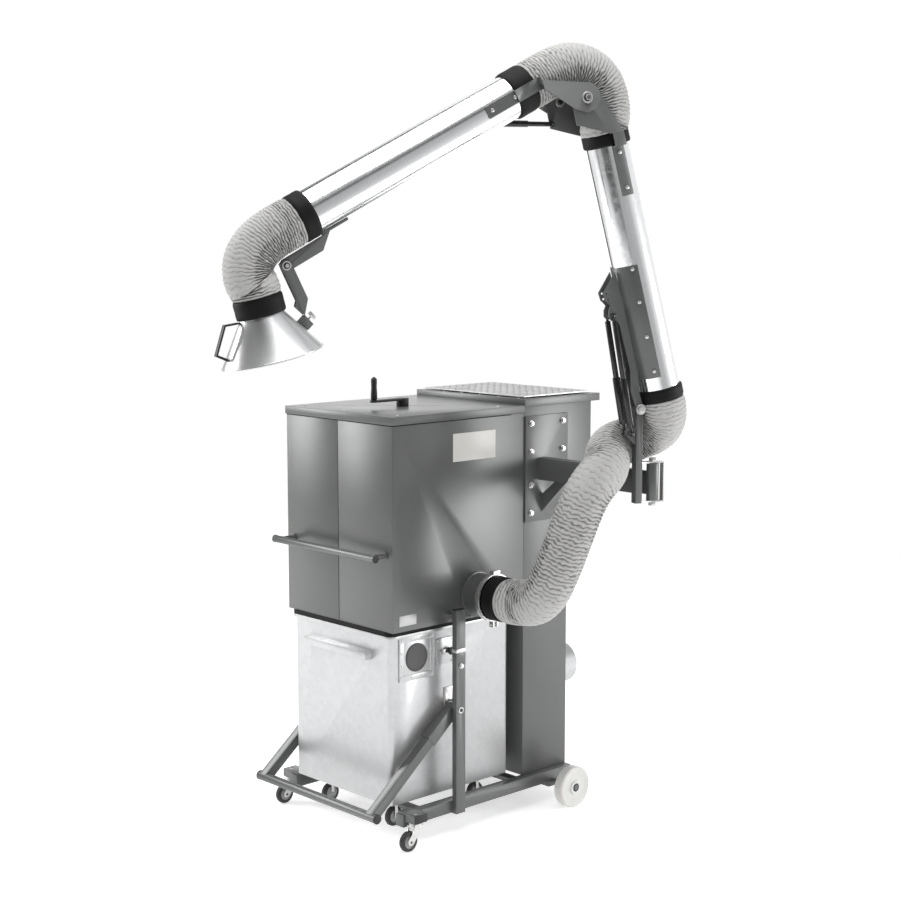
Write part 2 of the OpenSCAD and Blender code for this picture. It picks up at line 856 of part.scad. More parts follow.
module filter_cartridge() color(filter_white)
  translate([crank_x, crank_y, filter_bottom]) {
    linear_extrude(height = filter_len)
      difference() {
        polygon([for (i = [0 : 2 * pleat_count - 1])
          (filter_d / 2 - (i % 2) * pleat_depth)
            * [cos(180 * i / pleat_count), sin(180 * i / pleat_count)]]);
        circle(d = filter_bore, $fn = fine);
      }
    cylinder(d = filter_d, h = end_disc_t);
    translate([0, 0, filter_len - end_disc_t])
      pipe(filter_d / 2, (filter_d - filter_bore) / 2, end_disc_t);
  }
filter_seal = 5;
pleat_depth = 18;
end_disc_t = 12;
wiper_t = 3;
wiper_w = 60;
wiper_len = 360;
wiper_hub_h = 12;
wiper_drop = 60;
wiper_play = 3;
wiper_top = filter_top - wiper_drop;

// Two blades on a hub that the crank's shaft turns
module filter_wiper() color(black_plastic)
  translate([crank_x, crank_y, wiper_top - wiper_len])
    difference() {
      union() {
        cylinder(d = 2 * crank_shaft_d, h = wiper_hub_h);
        translate([0, 0, wiper_len - wiper_hub_h]) cylinder(d = 2 * crank_shaft_d, h = wiper_hub_h);
        for (s = [0, 180])
          rotate([0, 0, s]) {
            box(
              [filter_bore / 2 - wiper_w - wiper_play, -wiper_t / 2, 0],
              [wiper_w, wiper_t, wiper_len]);
            for (z = [0, wiper_len - wiper_hub_h])
              box(
                [0, -crank_shaft_d / 4, z],
                [filter_bore / 2 - wiper_w, crank_shaft_d / 2, wiper_hub_h]);
          }
      }
      translate([0, 0, -over]) cylinder(d = crank_shaft_d + 2 * fit, h = wiper_len + 2 * over);
    }

crank_boss_h = 22;
crank_arm_z = housing_top + lid_rise + crank_boss_h;
grip_pin_end = 4;
crank_arm_w = 30;
crank_arm_t = 8;
crank_boss_d = 46;
crank_shaft_bottom = wiper_top - wiper_len;
grip_pin_d = 10;

module crank_handle() color(zinc)
  translate([crank_x, crank_y, 0]) {
    translate([0, 0, crank_shaft_bottom])
      cylinder(d = crank_shaft_d, h = crank_arm_z - crank_shaft_bottom);
    translate([0, 0, housing_top + lid_rise + gap])
      cylinder(d = crank_boss_d, h = crank_arm_z + crank_arm_t - housing_top - lid_rise - gap);
    translate([0, 0, crank_arm_z]) {
      box([-crank_arm_w / 2, -crank_arm, 0], [crank_arm_w, crank_arm, crank_arm_t]);
      translate([0, -crank_arm, 0]) cylinder(d = crank_arm_w, h = crank_arm_t);
      translate([0, -crank_arm, 0]) cylinder(d = grip_pin_d, h = crank_grip_len + crank_arm_t + grip_pin_end);
    }
  }

module crank_grip() color(black_plastic)
  translate([crank_x, crank_y - crank_arm, crank_arm_z + crank_arm_t + gap])
    difference() {
      rotate_extrude($fn = fine)
        polygon([for (s = grip_shares) [s[0] * crank_grip_d / 2, s[1] * crank_grip_len]]);
      translate([0, 0, -over])
        cylinder(d = grip_pin_d + 2 * fit, h = crank_grip_len + 2 * over);
    }

// Half outline of the grip in shares of its radius and its length
grip_shares = [
  [0, 0], [0.8, 0], [1, 0.06], [1, 0.3], [0.86, 0.6], [0.94, 0.85], [0.9, 0.95],
  [0.7, 1], [0, 1]
];

// Tower with the upper rear box, open to the housing at the top
box_bottom = tower_top - rear_box_h;
window_w = 360;
window_h = 90;
window_up = 12;
window_z = tube_sheet_z + window_up;

module tower_shell() color(grey_paint)
  difference() {
    union() {
      box([-side_x, tower_front, tower_bottom], [housing_w, tower_d, tower_h]);
      box([-side_x, tower_front, box_bottom], [housing_w, tower_d + rear_box_d, rear_box_h]);
      // Inlet of the mains lead
      translate([-side_x + gland_x, tower_rear - over, gland_z]) rod_y(gland_d, gland_len + over);
    }
    box(
      [-side_x + sheet_t, tower_front + sheet_t, tower_bottom + sheet_t],
      [housing_w - 2 * sheet_t, tower_d - 2 * sheet_t, tower_h]);
    box(
      [-side_x + sheet_t, tower_front + sheet_t, box_bottom + sheet_t],
      [housing_w - 2 * sheet_t, tower_d + rear_box_d - 2 * sheet_t, rear_box_h]);
    box(
      [-window_w / 2, tower_front - over, window_z],
      [window_w, sheet_t + 2 * over, window_h]);
    translate([outlet_x, tower_rear - 2 * sheet_t, outlet_z])
      rod_y(outlet_d - 2 * outlet_t, 4 * sheet_t);
    translate([-side_x + gland_x, tower_rear - 2 * sheet_t, gland_z])
      rod_y(gland_d / 2, gland_len + 4 * sheet_t);
  }
gland_x = 90;
gland_z = 420;
gland_d = 28;
gland_len = 22;
outlet_t = 1.5;
flange_w = 20;

module tower_lid() color(grey_paint)
  lid(
    -side_x - lid_overhang - gap, tower_front + gap,
    housing_w + 2 * lid_overhang + 2 * gap, tower_d + rear_box_d + lid_rear,
    tower_top + gap, 0, 0, 0);
lid_rear = 46;

// Panel on the tower's lid, quilted by a grid of grooves
panel_t = 10;
panel_inset = 22;
panel_cells_x = 9;
panel_cells_y = 6;
groove_w = 4;
groove_d = 4;

module lid_panel() color(black_plastic)
  translate([0, tower_front + gap + (tower_d + rear_box_d + lid_rear) / 2, tower_top + gap + lid_t])
    difference() {
      w = housing_w - 2 * panel_inset;
      d = tower_d + rear_box_d + lid_rear - 2 * panel_inset;
      translate([-w / 2, -d / 2, 0]) cube([w, d, panel_t]);
      for (i = [1 : panel_cells_x - 1])
        box(
          [-w / 2 + i * w / panel_cells_x - groove_w / 2, -d, panel_t - groove_d],
          [groove_w, 2 * d, groove_d + over]);
      for (i = [1 : panel_cells_y - 1])
        box(
          [-w, -d / 2 + i * d / panel_cells_y - groove_w / 2, panel_t - groove_d],
          [2 * w, groove_w, groove_d + over]);
    }

// Motor, fan wheel and casing stand in the tower's head
fan_x = -100;
fan_y = tower_front + (tower_d + rear_box_d) / 2;
fan_play = 8;
scroll_t = 2;
scroll_top = window_z - fan_play;
scroll_z = scroll_top - scroll_h;
motor_flange_t = 6;
motor_top = scroll_z - gap - motor_flange_t;
motor_flange_out = 10;
motor_shaft_d = 19;
shaft_hole_d = 49;
fin_count = 12;
fin_t = 4;
fin_h = 8;
bracket_d = 60;
bracket_t = 6;
impeller_base = 10;
impeller_h = scroll_h - 3 * fan_play;
impeller_z = scroll_z + impeller_base;
impeller_plate_t = 3;
impeller_ring_w = 40;
impeller_hub_d = 50;
impeller_hub_h = 30;
blade_count = 12;
blade_len = 60;
blade_t = 2.5;
blade_angle = 150;
shaft_down = 80;
duct_w = 200;
duct_d = 190;
duct_under = 20;
duct_left = outlet_x - duct_w / 2;
duct_right = outlet_x + duct_w / 2;
duct_bottom = outlet_z - outlet_d / 2 - duct_under;
duct_rear = tower_rear - sheet_t - gap;
fan_inlet_d = 180;

module fan_motor() color(bright_steel)
  translate([fan_x, fan_y, 0])
    difference() {
      union() {
        translate([0, 0, motor_top - motor_len]) cylinder(d = motor_d, h = motor_len, $fn = fine);
        for (i = [0 : fin_count - 1])
          rotate([0, 0, 360 * i / fin_count])
            box(
              [motor_d / 2 - over, -fin_t / 2, motor_top - motor_len + fin_t],
              [fin_h + over, fin_t, motor_len - 4 * fin_t]);
        // Cross bar that carries the motor between the tower's walls
        box(
          [-side_x + sheet_t + gap - fan_x, -bracket_d / 2, motor_top - motor_len - over],
          [duct_left + side_x - sheet_t - 2 * gap, bracket_d, bracket_t]);
        translate([0, 0, motor_top - motor_flange_t])
          cylinder(d = motor_d + 2 * motor_flange_out, h = 2 * motor_flange_t);
      }
      translate([0, 0, motor_top - motor_len / 2])
        cylinder(d = motor_shaft_d + 2 * fit, h = motor_len);
    }

module fan_impeller() color(bright_steel)
  translate([fan_x, fan_y, impeller_z]) {
    cylinder(d = impeller_d, h = impeller_plate_t, $fn = fine);
    translate([0, 0, impeller_h - impeller_plate_t])
      pipe(impeller_d / 2, impeller_ring_w, impeller_plate_t);
    cylinder(d = impeller_hub_d, h = impeller_hub_h);
    for (i = [0 : blade_count - 1])
      rotate([0, 0, 360 * i / blade_count])
        translate([impeller_d / 2 - impeller_plate_t, 0, impeller_plate_t / 2])
          rotate([0, 0, blade_angle])
            cube([blade_len, blade_t, impeller_h - impeller_plate_t]);
    translate([0, 0, -shaft_down]) cylinder(d = motor_shaft_d, h = shaft_down + over);
  }

// The casing's outside, or its inside when shrunk by its wall
module scroll_body(wall) {
  translate([fan_x, fan_y, scroll_z + wall])
    cylinder(d = scroll_d - 2 * wall, h = scroll_h - 2 * wall, $fn = fine);
  box(
    [fan_x, fan_y - scroll_d / 2 + wall, scroll_z + wall],
    [duct_right - fan_x - wall, duct_d - 2 * wall, scroll_h - 2 * wall]);
  box(
    [duct_left + wall, duct_rear - duct_d + wall, duct_bottom + wall],
    [duct_w - 2 * wall, duct_d - 2 * wall, scroll_z + over - duct_bottom]);
}

module fan_scroll() color(grey_paint)
  difference() {
    scroll_body(0);
    scroll_body(scroll_t);
    translate([fan_x, fan_y, scroll_top - scroll_t - over])
      cylinder(d = fan_inlet_d, h = scroll_t + 2 * over);
    translate([fan_x, fan_y, scroll_z - over])
      cylinder(d = shaft_hole_d, h = scroll_t + 2 * over);
    translate([outlet_x, duct_rear - scroll_t - over, outlet_z])
      rod_y(outlet_d - 2 * outlet_t, scroll_t + 2 * over);
  }

module outlet_spigot() color(zinc)
  translate([outlet_x, tower_rear + gap, outlet_z])
    rotate([-90, 0, 0]) {
      pipe(outlet_d / 2, outlet_t, outlet_len);
      pipe(outlet_d / 2 + flange_w, flange_w + outlet_t, sheet_t);
    }

// Inlet stub, clamp and cuff
clamp_t = 6;
clamp_w = 20;
inlet_face_x = side_x + inlet_len;
cuff_gap = 0.1;

module inlet_spigot() color(grey_paint)
  translate([side_x + gap, inlet_y, inlet_z])
    rotate([0, 90, 0]) {
      pipe(inlet_d / 2, sheet_t, inlet_len - gap);
      pipe(inlet_d / 2 + inlet_flange, inlet_flange + sheet_t, sheet_t);
      translate([0, 0, inlet_len - gap - bead_from_end])
        pipe(inlet_d / 2 + bead_h, bead_h + sheet_t, 2 * bead_h);
    }
inlet_flange = 4;
bead_from_end = 8;
bead_h = 2;

clamp_r = inlet_d / 2 + bead_h + gap + clamp_t;
clamp_lug_t = 8;
clamp_lug_h = 22;
clamp_split = 12;
clamp_bolt_d = 6;
clamp_toggle_l = 34;
clamp_toggle_h = 12;

module inlet_clamp() color(zinc)
  translate([inlet_face_x - clamp_w / 2, inlet_y, inlet_z]) {
    rotate([0, 90, 0]) pipe(clamp_r, clamp_t, clamp_w);
    // Toggle on top, and the bolt lugs below
    box([0, -clamp_toggle_l / 3, clamp_r - over], [clamp_w, clamp_toggle_l, clamp_toggle_h]);
    for (y = [-clamp_split / 2 - clamp_lug_t, clamp_split / 2])
      box([0, y, -clamp_r - clamp_lug_h + over], [clamp_w, clamp_lug_t, clamp_lug_h]);
    translate([clamp_w / 2, -clamp_split / 2 - 2 * clamp_lug_t, -clamp_r - clamp_lug_h / 2])
      rod_y(clamp_bolt_d, clamp_split + 4 * clamp_lug_t);
  }

module inlet_cuff() color(black_plastic)
  translate([inlet_face_x + clamp_w / 2 + gap, inlet_y, inlet_z])
    rotate([0, 90, 0])
      pipe(cuff_r, cuff_t + over, inlet_cuff_len);

// Supply hose: the route's points in the machine frame, chosen by hand
supply_start = [inlet_face_x + clamp_w / 2 + gap + inlet_cuff_len, inlet_y, inlet_z];
supply_points = [
  [535, 425, 875], [645, 415, 890], [720, 450, 1110], [785, 485, 1325],
  [795, 580, 1365], [690, 680, 1440], [735, 795, 1460], [830, 820, 1502]
];
end_straight = 50;
arm_out = [cos(arm_heading), sin(arm_heading), 0];
function from_arm(p) = [swivel_x, swivel_y, 0] + p[0] * arm_out + [0, 0, p[1]];
supply_end = from_arm(lower_foot - gap * lower_dir);
supply_before = from_arm(lower_foot - (end_straight + gap) * lower_dir);
supply_route = concat(
  [supply_start, supply_start + [end_straight, 0, 0]],
  supply_points,
  [supply_before, supply_end]);
supply_split_share = 0.68;
supply_side = [1, 0, -1];

module supply_hose_lower() color(hose_grey)
  ribbed_hose(supply_route, 0, supply_split_share, supply_low_ribs, supply_side);

module supply_hose_upper() color(hose_grey)
  ribbed_hose(supply_route, supply_split_share, 1, supply_high_ribs, supply_side);

// Console on the housing's side: plate, beam, web, strut and bush
console_w = 232;
console_front_share = 0.4;
console_y = swivel_y - console_w * console_front_share;
console_bottom = 1112;
console_h = 405;
console_t = 6;
beam_z = 1270;
beam_h = 85;
beam_w = 40;
beam_short = 69;
beam_end_x = swivel_x - beam_short;
web_sink = 6;
web_t = 12;
bush_d = 44;
bush_below = 19;
bush_above = 30;
bush_bottom = beam_z - bush_below;
bush_h = bush_below + beam_h + bush_above;
swivel_pin_d = 20;
strut_low = 1144;
strut_h = 68;
strut_from = 79;
strut_to = 136;
bolt_y_inset = 29;
post_screw_d = 16;
lid_screw_d = 8;
lid_screw_h = 2.4;
lid_screw_count = 6;
lid_screw_inset = 40;
bolt_rows_shares = [0.084, 0.348, 0.662, 0.928];
console_bolt_d = 20;

module arm_console() color(grey_paint) {
  box([side_x + gap, console_y, console_bottom], [console_t, console_w, console_h]);
  translate([0, swivel_y, 0]) {
    box([side_x + console_t, -beam_w / 2, beam_z], [beam_end_x - side_x - console_t, beam_w, beam_h]);
    box([beam_end_x - over, -web_t / 2, beam_z], [swivel_x - beam_end_x - bush_d / 2 + web_sink, web_t, beam_h]);
    translate([0, web_t / 2, 0])
      rotate([90, 0, 0])
        linear_extrude(height = web_t)
          polygon([
            [side_x + console_t - over, strut_low],
            [side_x + console_t - over, strut_low + strut_h],
            [side_x + strut_from, beam_z + over],
            [side_x + strut_to, beam_z + over]
          ]);
    translate([swivel_x, 0, bush_bottom])
      pipe(bush_d / 2, (bush_d - swivel_pin_d) / 2 - fit, bush_h);
  }
}

module frame_bolts() color(bright_steel) {
  // Console bolts
  for (y = [console_y + bolt_y_inset, console_y + console_w - bolt_y_inset])
    for (s = bolt_rows_shares)
      translate([side_x + gap + console_t, y, console_bottom + s * console_h])
        rotate([0, 90, 0]) bolt_head(console_bolt_d);
  // Bolts in the posts
  both_sides()
    translate([post_x + post_w, lever_y, post_top - post_screw_down])
      rotate([0, 90, 0]) bolt_head(post_screw_d);
  // Small screws in the rim of the tower's lid
  for (i = [0 : lid_screw_count - 1])
    translate([
      -side_x + lid_screw_inset + i * (housing_w - 2 * lid_screw_inset) / (lid_screw_count - 1),
      tower_front + panel_inset / 2,
      tower_top + gap + lid_t
    ])
      cylinder(d = lid_screw_d, h = lid_screw_h);
}

// Push bar on two standoffs
push_y = -70;
push_z = 1064;
push_d = 27;
push_len = 580;
standoff_x = 262;
push_cap = 6;
standoff_d = 19;
foot_d = 26;
foot_t = 5;

module push_bar() {
  color(grey_paint) {
    translate([-push_len / 2 + push_cap, push_y, push_z]) rod_x(push_d, push_len - 2 * push_cap);
    both_sides() {
      translate([standoff_x, push_y, push_z]) rod_y(standoff_d, -push_y - gap);
      translate([standoff_x, -gap - foot_t, push_z]) rod_y(foot_d, foot_t);
    }
  }
  color(black_plastic)
    both_sides()
      translate([push_len / 2 - push_cap, push_y, push_z])
        rod_x(push_d + 2 * bar_cap_wall, push_cap);
}

// Swivel of the arm: a zinc C yoke round the bush, and the post in front of it
yoke_t = 6;
yoke_w = 24;
post_in = 50.5;
post_thick = 25;
post_wide = 32;
post_below = 7;
post_bottom = bush_bottom - post_below;
swivel_nut_d = 30;
swivel_nut_h = 12;
yoke_low = bush_bottom - yoke_t - gap;
yoke_high = bush_bottom + bush_h + gap;
yoke_back = -42;
lug_t = 5;

module arm_post() arm_frame() {
  color(zinc) {
    for (z = [yoke_low, yoke_high])
      box([yoke_back, -yoke_w / 2, z], [post_in - yoke_back + over, yoke_w, yoke_t]);
    box([yoke_back, -yoke_w / 2, yoke_low], [yoke_t, yoke_w, yoke_high + yoke_t - yoke_low]);
    // Swivel bolt
    translate([0, 0, yoke_low]) cylinder(d = swivel_pin_d, h = yoke_high - yoke_low + yoke_t);
    for (z = [yoke_low - swivel_nut_h, yoke_high + yoke_t])
      translate([0, 0, z]) cylinder(d = swivel_nut_d, h = swivel_nut_h, $fn = 6);
  }
  color(grey_paint) {
    difference() {
      union() {
        box(
          [post_in, -post_wide / 2, post_bottom],
          [post_thick, post_wide, pivot_z - post_bottom]);
        translate([pivot_u, -post_wide / 2, pivot_z]) rod_y(post_thick, post_wide);
      }
      translate([pivot_u, -post_wide, pivot_z]) rod_y(main_pin_d + 2 * fit, 2 * post_wide);
    }
    // Lugs of the springs' lower pins
    both_flanks() {
      flat_plate(outline(lug_shares, lug_size, spring_low), lug_w, lug_t);
    }
    translate([spring_low[0], -spring_pin_reach, spring_low[1]])
      rod_y(2 * spring_pin_r, 2 * spring_pin_reach);
  }
}
main_pin_d = 16;
spring_pin_reach = 41;
lug_w = 4;
lug_size = 30;

// Outline of a spring lug about its pin, in shares of lug_size
lug_shares = [[-0.85, -1.4], [-0.85, 0.6], [0.3, 0.37], [0.37, -0.13], [0.1, -0.43]];

// Gas springs: a sleeve with its rod on the post, a cylinder on the lower arm
spring_axis = spring_high - spring_low;
spring_angle = atan2(spring_axis[0], spring_axis[1]);
spring_len = norm(spring_axis);
sleeve_from = 34;
sleeve_to = 200;
eye_d = 20;
eye_t = 12;
rod_sink = 3;
spring_rod_d = 10;
sleeve_floor = 14;
spring_travel = 80;

module eye(pin_d) translate([0, -eye_t / 2, 0])
  difference() {
    rod_y(eye_d, eye_t);
    translate([0, -over, 0]) rod_y(pin_d, eye_t + 2 * over);
  }

module spring_pair() arm_frame()
  along(spring_low, spring_angle)
    both_flanks()
      translate([0, spring_w, 0])
        children();

module spring_sleeves() color(black_plastic)
  spring_pair() {
    eye(2 * spring_pin_r + 2 * fit);
    translate([0, 0, eye_d / 2 - rod_sink])
      cylinder(d = spring_rod_d, h = sleeve_from - eye_d / 2 + 2 * rod_sink);
    difference() {
      translate([0, 0, sleeve_from]) cylinder(d = spring_thick_d, h = sleeve_to - sleeve_from);
      translate([0, 0, sleeve_from + sleeve_floor])
        cylinder(d = spring_thick_d - 2 * sleeve_wall, h = sleeve_to);
    }
  }
sleeve_wall = 1;

module spring_cylinders() color(black_plastic)
  spring_pair() {
    translate([0, 0, spring_len]) eye(2 * spring_pin_r + 2 * fit);
    translate([0, 0, sleeve_from + spring_travel])
      cylinder(d = spring_thin_d, h = spring_len - sleeve_from - spring_travel - eye_d);
    translate([0, 0, spring_len - eye_d - over])
      cylinder(d = spring_rod_d, h = eye_d / 2 + rod_sink + over);
  }

// Lower arm
module lower_tube() color(zinc) arm_frame()
  along(lower_foot, lower_tilt)
    pipe(tube_r, tube_t, lower_tube_len);

module lower_cuffs() color(black_plastic) arm_frame()
  along(lower_foot, lower_tilt) {
    pipe(cuff_r, cuff_t - cuff_gap, lower_cuff_foot_len);
    translate([0, 0, lower_tube_len - lower_cuff_head_len])
      pipe(cuff_r, cuff_t - cuff_gap, lower_cuff_head_len);
  }

// Folded saddle on the tube's front, with two webs down to the pivot
saddle_t = 3;
saddle_from = 92;
saddle_len = 404;
saddle_in = tube_r + gap;
saddle_facet = 30;
saddle_back = 22;
side_web_t = 4;
adjust_hole_d = 8;
pin_head_d = 26;
pin_head_t = 6;
main_boss_d = 28;
spring_boss_d = 28;

module saddle_plan(inner, t)
  difference() {
    rotate([0, 0, saddle_facet / 2])
      circle(r = (inner + t) / cos(saddle_facet / 2), $fn = 360 / saddle_facet);
    circle(r = inner, $fn = fine);
    translate([-2 * tube_r, -2 * tube_r]) square([2 * tube_r + saddle_back, 4 * tube_r]);
  }

// Web outline about the main pivot, in shares of the pivot's distance to the upper spring pin
web_shares = [
  [0.31, 1.38], [0.437, 1.171], [0.411, 1.097], [0.354, 1.046], [0.374, 0.994],
  [0.37, 0.93], [0.31, 0.912], [0.251, 0.866], [0.12, 0.394], [0.114, 0.183],
  [0.04, -0.02], [0, -0.04], [-0.035, -0.01], [-0.03, 0.03], [0.02, 0.183],
  [0.032, 0.394], [0.202, 1.04]
];
adjust_shares = [[0.397, 1.165], [0.38, 1.11]];
web_len = norm(spring_high - [pivot_u, pivot_z]);

module lower_bracket() color(grey_paint) arm_frame() {
  along(lower_foot, lower_tilt)
    translate([0, 0, saddle_from])
      linear_extrude(height = saddle_len)
        saddle_plan(saddle_in, saddle_t);
  both_flanks()
    difference() {
      union() {
        flat_plate(outline(web_shares, web_len, [pivot_u, pivot_z]), web_w, side_web_t);
        translate([pivot_u, web_w, pivot_z]) rod_y(main_boss_d, side_web_t);
        translate([spring_high[0], web_w, spring_high[1]]) rod_y(spring_boss_d, side_web_t);
      }
      for (p = outline(adjust_shares, web_len, [pivot_u, pivot_z]))
        translate([p[0], web_w - over, p[1]])
          rod_y(adjust_hole_d, side_web_t + 2 * over);
    }
  // Main pin and the upper pin of the springs
  translate([pivot_u, -main_pin_reach, pivot_z]) rod_y(main_pin_d, 2 * main_pin_reach);
  translate([spring_high[0], -spring_pin_reach, spring_high[1]])
    rod_y(2 * spring_pin_r, 2 * spring_pin_reach);
}
web_w = post_wide / 2 + gap;
main_pin_reach = web_w + side_web_t + pin_head_t;

module lower_bolts() color(bright_steel) arm_frame() {
  along(lower_foot, lower_tilt)
    both_flanks()
      for (s = saddle_bolt_shares)
        rotate([0, 0, 2 * saddle_facet])
          translate([saddle_in + saddle_t, 0, saddle_from + s * saddle_len])
            rotate([0, 90, 0]) cylinder(d = saddle_bolt_d, h = saddle_bolt_h);
  // Heads of the main pivot's pin
  both_flanks()
    translate([pivot_u, main_pin_reach, pivot_z]) rod_y(pin_head_d, pin_head_t);
}
saddle_bolt_d = 13;
saddle_bolt_h = 5;
saddle_bolt_shares = [0.06, 0.37, 0.68, 0.97];

// Elbow: plates of both arms, each a cheek with a joggled strap along its tube
plate_t = 4;
lower_cheek_w = 100;
cheek_gap = 2.5;
upper_cheek_w = lower_cheek_w + plate_t + cheek_gap;
strap_w = tube_r + gap;
over_cuff_w = cuff_r + gap;
elbow_sleeve_d = 23;
elbow_rod_d = 17;
elbow_spring_w = -strap_w - plate_t - gap - elbow_sleeve_d / 2;
elbow_pin_d = 16;
elbow_pin_end = 12;
strap_wide = 42;
lower_strap_len = 170;
lower_step = lower_tube_len - lower_cuff_head_len - plate_t - over;
lower_strap_past = 15;
lower_strap_top = lower_tube_len + lower_strap_past;
upper_strap_end = 201;
upper_step = upper_cuff_foot_len + over;
upper_strap_low = -14;
rest_t = 4;
rest_at = 230;
rest_len = 45;
rest_wide = 32;

// Outlines about the elbow pivot in shares of elbow_len
elbow_len = 200;
lower_cheek_shares = [
  [-0.25, 0.1], [-0.295, 0.01], [-0.71, -0.535], [-0.47, -0.585], [0.175, -0.46],
  [0.275, -0.04], [0.2, 0.16], [0, 0.25], [-0.16, 0.2]
];
upper_cheek_shares = [
  [-0.08, 0.245], [0.79, 0.255], [0.83, 0.235], [0.78, 0.1], [0.6, 0.01], [0.22, -0.2],
  [0, -0.255], [-0.19, -0.17], [-0.255, 0], [-0.2, 0.16]
];

module elbow_cheek(shares, w)
  flat_plate(outline(shares, elbow_len, [elbow_u, elbow_z]), w, plate_t);

// A strip along a tube's flank between two places, and a step across its width
module strip(from, to, w)
  box([-strap_wide / 2, w, from], [strap_wide, plate_t, to - from]);

module step(at, w_in, w_out)
  box([-strap_wide / 2, w_in, at], [strap_wide, w_out + plate_t - w_in, plate_t]);

module lower_elbow_plates() color(grey_paint) arm_frame() {
  both_flanks() {
    elbow_cheek(lower_cheek_shares, lower_cheek_w);
    along(lower_foot, lower_tilt) {
      strip(lower_step - lower_strap_len, lower_step + plate_t, strap_w);
      step(lower_step, strap_w, lower_cheek_w - over);
      strip(lower_step, lower_strap_top, lower_cheek_w - over);
    }
    // Elbow pin, one stub for each side
    translate([elbow_u, lower_cheek_w - over, elbow_z])
      rod_y(elbow_pin_d, upper_cheek_w - lower_cheek_w + plate_t + elbow_pin_end);
  }
  // Stud of the elbow's spring on the far cheek
  translate([elbow_spring_a[0], -lower_cheek_w - over, elbow_spring_a[1]])
    rod_y(2 * spring_pin_r, lower_cheek_w + elbow_spring_w + eye_t);
}

module upper_elbow_plates() color(grey_paint) arm_frame() {
  both_flanks() {
    difference() {
      elbow_cheek(upper_cheek_shares, upper_cheek_w);
      translate([elbow_u, upper_cheek_w - over, elbow_z])
        rod_y(elbow_pin_d + 2 * fit, plate_t + 2 * over);
    }
    along(upper_foot, upper_tilt) {
      step(upper_strap_low, over_cuff_w, upper_cheek_w);
      strip(upper_strap_low, upper_step + plate_t, over_cuff_w);
      step(upper_step, strap_w, over_cuff_w);
      strip(upper_step, upper_strap_end, strap_w);
    }
  }
  // Rest that holds the far end of the elbow's spring
  along(upper_foot, upper_tilt) {
    rest_w = elbow_spring_w - elbow_sleeve_d / 2 - gap;
    box([-rest_wide / 2, rest_w - rest_t, rest_at], [rest_wide, rest_t, rest_len]);
    box(
      [-rest_wide / 2, rest_w - rest_t, rest_at + rest_len - rest_t],
      [rest_wide, rest_t - rest_w - strap_w, rest_t]);
  }
}

// Upper arm
module upper_tube() color(zinc) arm_frame()
  along(upper_foot, upper_tilt)
    pipe(tube_r, tube_t, upper_tube_len);

module upper_cuffs() color(black_plastic) arm_frame()
  along(upper_foot, upper_tilt) {
    pipe(cuff_r, cuff_t - cuff_gap, upper_cuff_foot_len);
    translate([0, 0, upper_tube_len - upper_cuff_head_len])
      pipe(cuff_r, cuff_t - cuff_gap, upper_cuff_head_len);
  }

// Spring of the elbow, on the far side
elbow_spring_axis = elbow_spring_b - elbow_spring_a;
elbow_spring_angle = atan2(elbow_spring_axis[0], elbow_spring_axis[1]);
elbow_spring_len = norm(elbow_spring_axis);
elbow_sleeve_from = 93;
elbow_travel = 90;
elbow_sleeve_floor = 20;
elbow_sleeve_clear = 2;

module elbow_spring() arm_frame()
  translate([0, elbow_spring_w, 0])
    along(elbow_spring_a, elbow_spring_angle)
      children();

module elbow_spring_cylinder() color(black_plastic)
  elbow_spring() {
    eye(2 * spring_pin_r + 2 * fit);
    translate([0, 0, eye_d / 2 - over])
      cylinder(d = elbow_rod_d, h = elbow_sleeve_from + elbow_travel);
  }

module elbow_spring_sleeve() color(black_plastic)
  elbow_spring()
    difference() {
      translate([0, 0, elbow_sleeve_from])
        cylinder(d = elbow_sleeve_d, h = elbow_spring_len - elbow_sleeve_from);
      translate([0, 0, elbow_sleeve_from - over])
        cylinder(
          d = elbow_rod_d + 2 * elbow_sleeve_clear,
          h = elbow_spring_len - elbow_sleeve_from - elbow_sleeve_floor);
    }

// Bracket under the upper tube that carries the hood
hood_bracket_w = 16;

module hood_bracket() color(grey_paint) arm_frame() {
  difference() {
    flat_plate(
      outline(hood_bracket_shares, hood_bracket_len, hood_pivot),
      -hood_bracket_w / 2, hood_bracket_w);
    translate([hood_pivot[0], -hood_bracket_w, hood_pivot[1]])
      rod_y(hood_pin_d + 2 * fit, 2 * hood_bracket_w);
  }
}
hood_bracket_len = 200;
hood_pin_d = 12;
hood_bracket_shares = [
  [0.05, -0.09], [-0.03, -0.1], [-0.63, 0.24], [-0.745, 0.56], [-1.06, 0.735],
  [-1.05, 0.775], [-0.606, 0.531], [-0.625, 0.48], [-0.485, 0.4], [0.06, 0.09], [0.1, 0.02]
];

// Hood
link_gap = 0.4;
link_t = 4;
hood_pin_reach = 20;

module hood_link() arm_frame() {
  color(zinc)
    both_flanks()
      flat_plate(
        outline(hood_link_shares, hood_bracket_len, hood_pivot),
        hood_bracket_w / 2 + link_gap, link_t);
  color(bright_steel)
    translate([hood_pivot[0], -hood_pin_reach, hood_pivot[1]])
      rod_y(hood_pin_d, 2 * hood_pin_reach);
  // Clamp block that joins both cheeks and reaches the hood's neck
  color(black_plastic)
    flat_plate(
      outline(hood_clamp_shares, hood_bracket_len, hood_pivot),
      -hood_bracket_w / 2 - link_gap - link_t, hood_bracket_w + 2 * link_gap + 2 * link_t);
}
hood_link_shares = [
  [0.1, 0.02], [0.05, 0.085], [-0.04, 0.09], [-0.095, 0.02], [-0.355, -0.53],
  [-0.3, -0.8], [-0.145, -0.66], [-0.17, -0.565], [0.06, -0.08]
];
hood_clamp_shares = [
  [-0.3, -0.795], [-0.2, -0.9], [-0.355, -1.036], [-0.445, -0.945]
];

